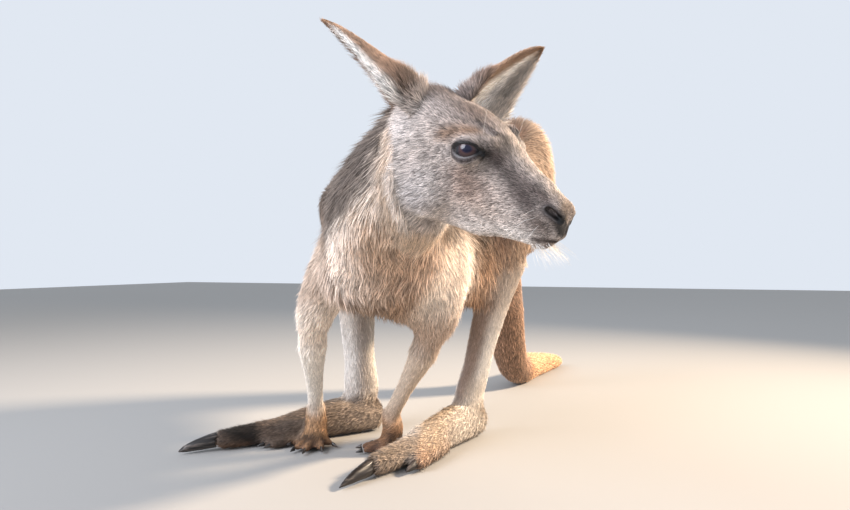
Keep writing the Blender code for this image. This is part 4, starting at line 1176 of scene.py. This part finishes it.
for side in sides:
    centre, gaze, slit, up = eyeFrame(side)
    axis = unit(fromEye(side, *(math.radians(v) for v in eye["pupil"])))
    right = unit(slit - slit @ axis * axis)
    mesh = bpy.data.meshes.new("eye_" + side)
    with editing(mesh) as bm:
        bmesh.ops.create_uvsphere(bm, u_segments=eye["segments"], v_segments=eye["rings"], radius=1.0)
    x, y, z = pointsOf(mesh).T
    angle = np.degrees(np.arccos(np.clip(z, -1, 1)))
    bulge = eye["globe"] + eye["cornea"] * np.clip(1 - (angle / eye["iris"]) ** 2, 0, 1)
    rows = (x[:, None] * right + y[:, None] * np.cross(axis, right) + z[:, None] * axis) * bulge[:, None]
    setPoints(mesh, fromHead(centre + rows))
    with editing(mesh) as bm:
        faceOut(bm)
    around = np.arctan2(y, x)
    stretch = 1 + (1 / eye["oval"] - 1) * np.abs(np.sin(around)) * ramp(eye["iris"] * 0.8 - angle, 0, 12)
    store(mesh, "fromPupil", "FLOAT", np.clip(angle / eye["iris"] * stretch, 0, 1.15))
    store(mesh, "rays", "FLOAT_VECTOR", np.column_stack([np.cos(around), np.sin(around), angle * 0.004]))
    smoothShaded(mesh, eyeball)
    obj = newObject("eye_ball_" + side, mesh)
    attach(obj, "root")
    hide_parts("eye_" + side)

# claws: dark and slightly polished, with long pale scratches towards the tip
horn, tree, shader = material("black horn claw, worn paler in streaks")
grain = added(tree, attribute, output="Vector", attribute_name="grain")
grain = added(tree, noise, {"Vector": grain, "Scale": 60.0, "Detail": 4.0})
worn = added(tree, mapRange, (grain, 0.52, 0.74, 0.0, 0.6))
tones = {0: worn, 6: colour("1d1816"), 7: colour("7d7067")}
feed(shader, {
    "Base Color": added(tree, mixTones, tones, output=2, data_type="RGBA"),
    "Roughness": added(tree, mapRange, (grain, 0.3, 0.7, 0.30, 0.52)),
    "Normal": added(tree, "ShaderNodeBump", {"Strength": 0.35, "Distance": 0.0006, "Height": grain}),
})
for side, limb in ((side, limb) for side in sides for limb in ("foot", "hand")):
    nodes = [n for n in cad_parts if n.startswith(f"{limb}_{side}_claw")]
    obj = newObject(f"claws_{limb}_{side}", mergedCopy(nodes))
    modify(obj, "SUBSURF", levels=1, render_levels=1)
    settled(obj)
    rows = pointsOf(obj.data)
    length, across = heading(limb, side)
    grainAt = np.column_stack([rows @ length * 0.18, rows @ across * 4, rows[:, 2] * 4])
    store(obj.data, "grain", "FLOAT_VECTOR", grainAt)
    smoothShaded(obj.data, horn)
    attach(obj, "root")
    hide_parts(*nodes)

# chin hairs, whiskers and lashes
hairs = {
    "radius": {"chin_hairs": 0.22, "whiskers": 0.12, "lashes": 0.16},  # mm
    "droop": {"chin_hairs": 0.10, "whiskers": 0.16, "lashes": 0.25},  # at the tip, as a part of the length
    "up": (-0.53, 0.103, 0.842),  # straight up, in the head's frame
    "steps": 7,  # rings along each
    "chin": 80,  # how many
    "lashes": 34,  # on each eye
    "whiskers": (((70, 20, -22), 30), ((64, 22, -27), 34), ((58, 24, -22), 32), ((66, 21, -17), 26),
                 ((52, 25, -28), 30), ((74, 18, -27), 24), ((2, 33, 23), 40)),  # root and length in mm
}
# thin and nearly white, with enough sheen to glow against the light
whiteHair = material("white chin hair and whiskers", Base_Color=colour("f4efe8"), Roughness=0.4,
                     Sheen_Weight=0.5)[0]
# near black, with a soft sheen
darkHair = material("black lash", Base_Color=colour("1c1716"), Roughness=0.45)[0]
skinTree = BVHTree.FromPolygons([Vector(p) for p in spots], corners.tolist())
rng = np.random.default_rng(7)


def strands(name, rows, finish):  # tapered closed hairs: each row has a root, a way and a length in mm
    steps, radius, droop = hairs["steps"], hairs["radius"][name], hairs["droop"][name]
    points, faces = [], []
    down = -np.array(hairs["up"])
    for root, way, size in rows:
        way = unit(np.array(way, float))
        side1 = unit(np.cross(way, (0.3, 0.1, 0.9)))
        side2 = np.cross(way, side1)
        base = len(points)
        for i in range(steps):
            t = i / (steps - 1)
            middle = np.array(root) + way * (size * t) + down * (droop * size * t * t)
            r = radius * (1 - 0.85 * t)
            points += [middle + r * (math.cos(a) * side1 + math.sin(a) * side2) for a in (0.0, 2.094, 4.189)]
        for i in range(base, base + 3 * (steps - 1), 3):
            faces += [(i + k, i + (k + 1) % 3, i + (k + 1) % 3 + 3, i + k + 3) for k in range(3)]
        last = base + 3 * (steps - 1)
        faces += [(base + 2, base + 1, base), (last, last + 1, last + 2)]
    mesh = newMesh(name, fromHead(np.array(points)), faces)
    smoothShaded(mesh, finish)
    obj = newObject(name, mesh)
    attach(obj, "root")


def onSkin(*row):  # a root half a millimetre under the skin nearest to a place, and the way out
    spot, normal = skinTree.find_nearest(Vector(fromHead(np.array(row))))[:2]
    out = np.array(normal) @ turn
    return toHead(np.array(spot)[None])[0] - out * 0.5, out


rows = []
for _ in range(hairs["chin"]):  # chin and lower lip
    x, y = rng.uniform(68, 90), rng.uniform(-12, 14)
    root, out = onSkin(x, y, -46 + 0.3 * max(0, x - 74))
    way = out * 0.5 + np.array((1.0, 0.1, 0.05)) + rng.normal(0, 0.25, 3)
    rows.append((root, way, rng.uniform(11, 25)))
strands("chin_hairs", rows, whiteHair)

rows = []
for s in sides.values():
    for (x, y, z), size in hairs["whiskers"]:
        root, out = onSkin(x, y * s, z)
        rows.append((root, out * 0.9 + np.array((-0.25, 0, -0.1)) + rng.normal(0, 0.12, 3), size))
strands("whiskers", rows, whiteHair)

rows = []
low, high = eye["open"]
for side in sides:
    centre, gaze, slit, up = eyeFrame(side)
    for i in range(hairs["lashes"]):
        a = low + 6 + (high - low - 14) * i / (hairs["lashes"] - 1) + rng.normal(0, 0.8)
        t = alongLids(a)[0]
        b = eye["upper"] * max(0.0, 1 - abs(t) ** 2.1) ** 0.85 + 5
        out = fromEye(side, math.radians(a), math.radians(b))
        way = out * 0.8 + up * 0.15 + slit * (0.5 * t) + rng.normal(0, 0.1, 3)
        rows.append((centre + out * (eye["lid"] - 0.3), way, rng.uniform(3.5, 6.0)))
strands("lashes", rows, darkHair)

# floor, light and camera
print("floor, light and camera")
studio = {
    "floor": 6.0,  # half its width
    "sky": "e1e8f2",
    # place, aim, size, watts, colour and spread in degrees
    "low_sun": ((2.1, 0.95, 1.55), (0.0, 0.0, 0.28), 0.4, 39, "ffe6c8", 75),
    "front_fill": ((-1.3, -2.2, 1.5), (0.0, -0.1, 0.25), 1.9, 29, "eef1fb", 90),
    "lens": 25.496,  # mm, on a sensor 36 mm wide
    "camera": (0.291, -0.831, 0.267),
    "lookYaw": 20.6,  # degrees to the left of straight back
    "lookUp": 0.83,
}
r = studio["floor"]
floor = newObject("floor", newMesh("floor", [(-r, -r, 0), (r, -r, 0), (r, r, 0), (-r, r, 0)], [(0, 1, 2, 3)]))
floor.data.materials.append(paper)

world = bpy.data.worlds.new("studio")
bpy.context.scene.world = world
bpy.context.scene.view_settings.view_transform = "Standard"
world.use_nodes = True
feed(world.node_tree.nodes["Background"], {"Color": colour(studio["sky"]), "Strength": 1.0})

for name in ("low_sun", "front_fill"):
    spot, aim, size, power, code, wide = studio[name]
    data = bpy.data.lights.new(name, "AREA")
    data.shape = "DISK"
    data.size = size
    data.energy = power
    data.color = tuple(tone(code))
    data.spread = math.radians(wide)
    obj = newObject(name, data)
    obj.location = Vector(spot)
    obj.rotation_euler = (Vector(aim) - Vector(spot)).to_track_quat("-Z", "Y").to_euler()

camera = newObject("camera", bpy.data.cameras.new("camera"))
camera.data.lens = studio["lens"]
camera.data.sensor_width = 36.0
camera.data.clip_start = 0.02
camera.location = place(*studio["camera"])
yaw, up = math.radians(studio["lookYaw"]), math.radians(studio["lookUp"])
looking = Vector((-math.sin(yaw) * math.cos(up), math.cos(yaw) * math.cos(up), math.sin(up)))
camera.rotation_euler = looking.to_track_quat("-Z", "Y").to_euler()
bpy.context.scene.camera = camera
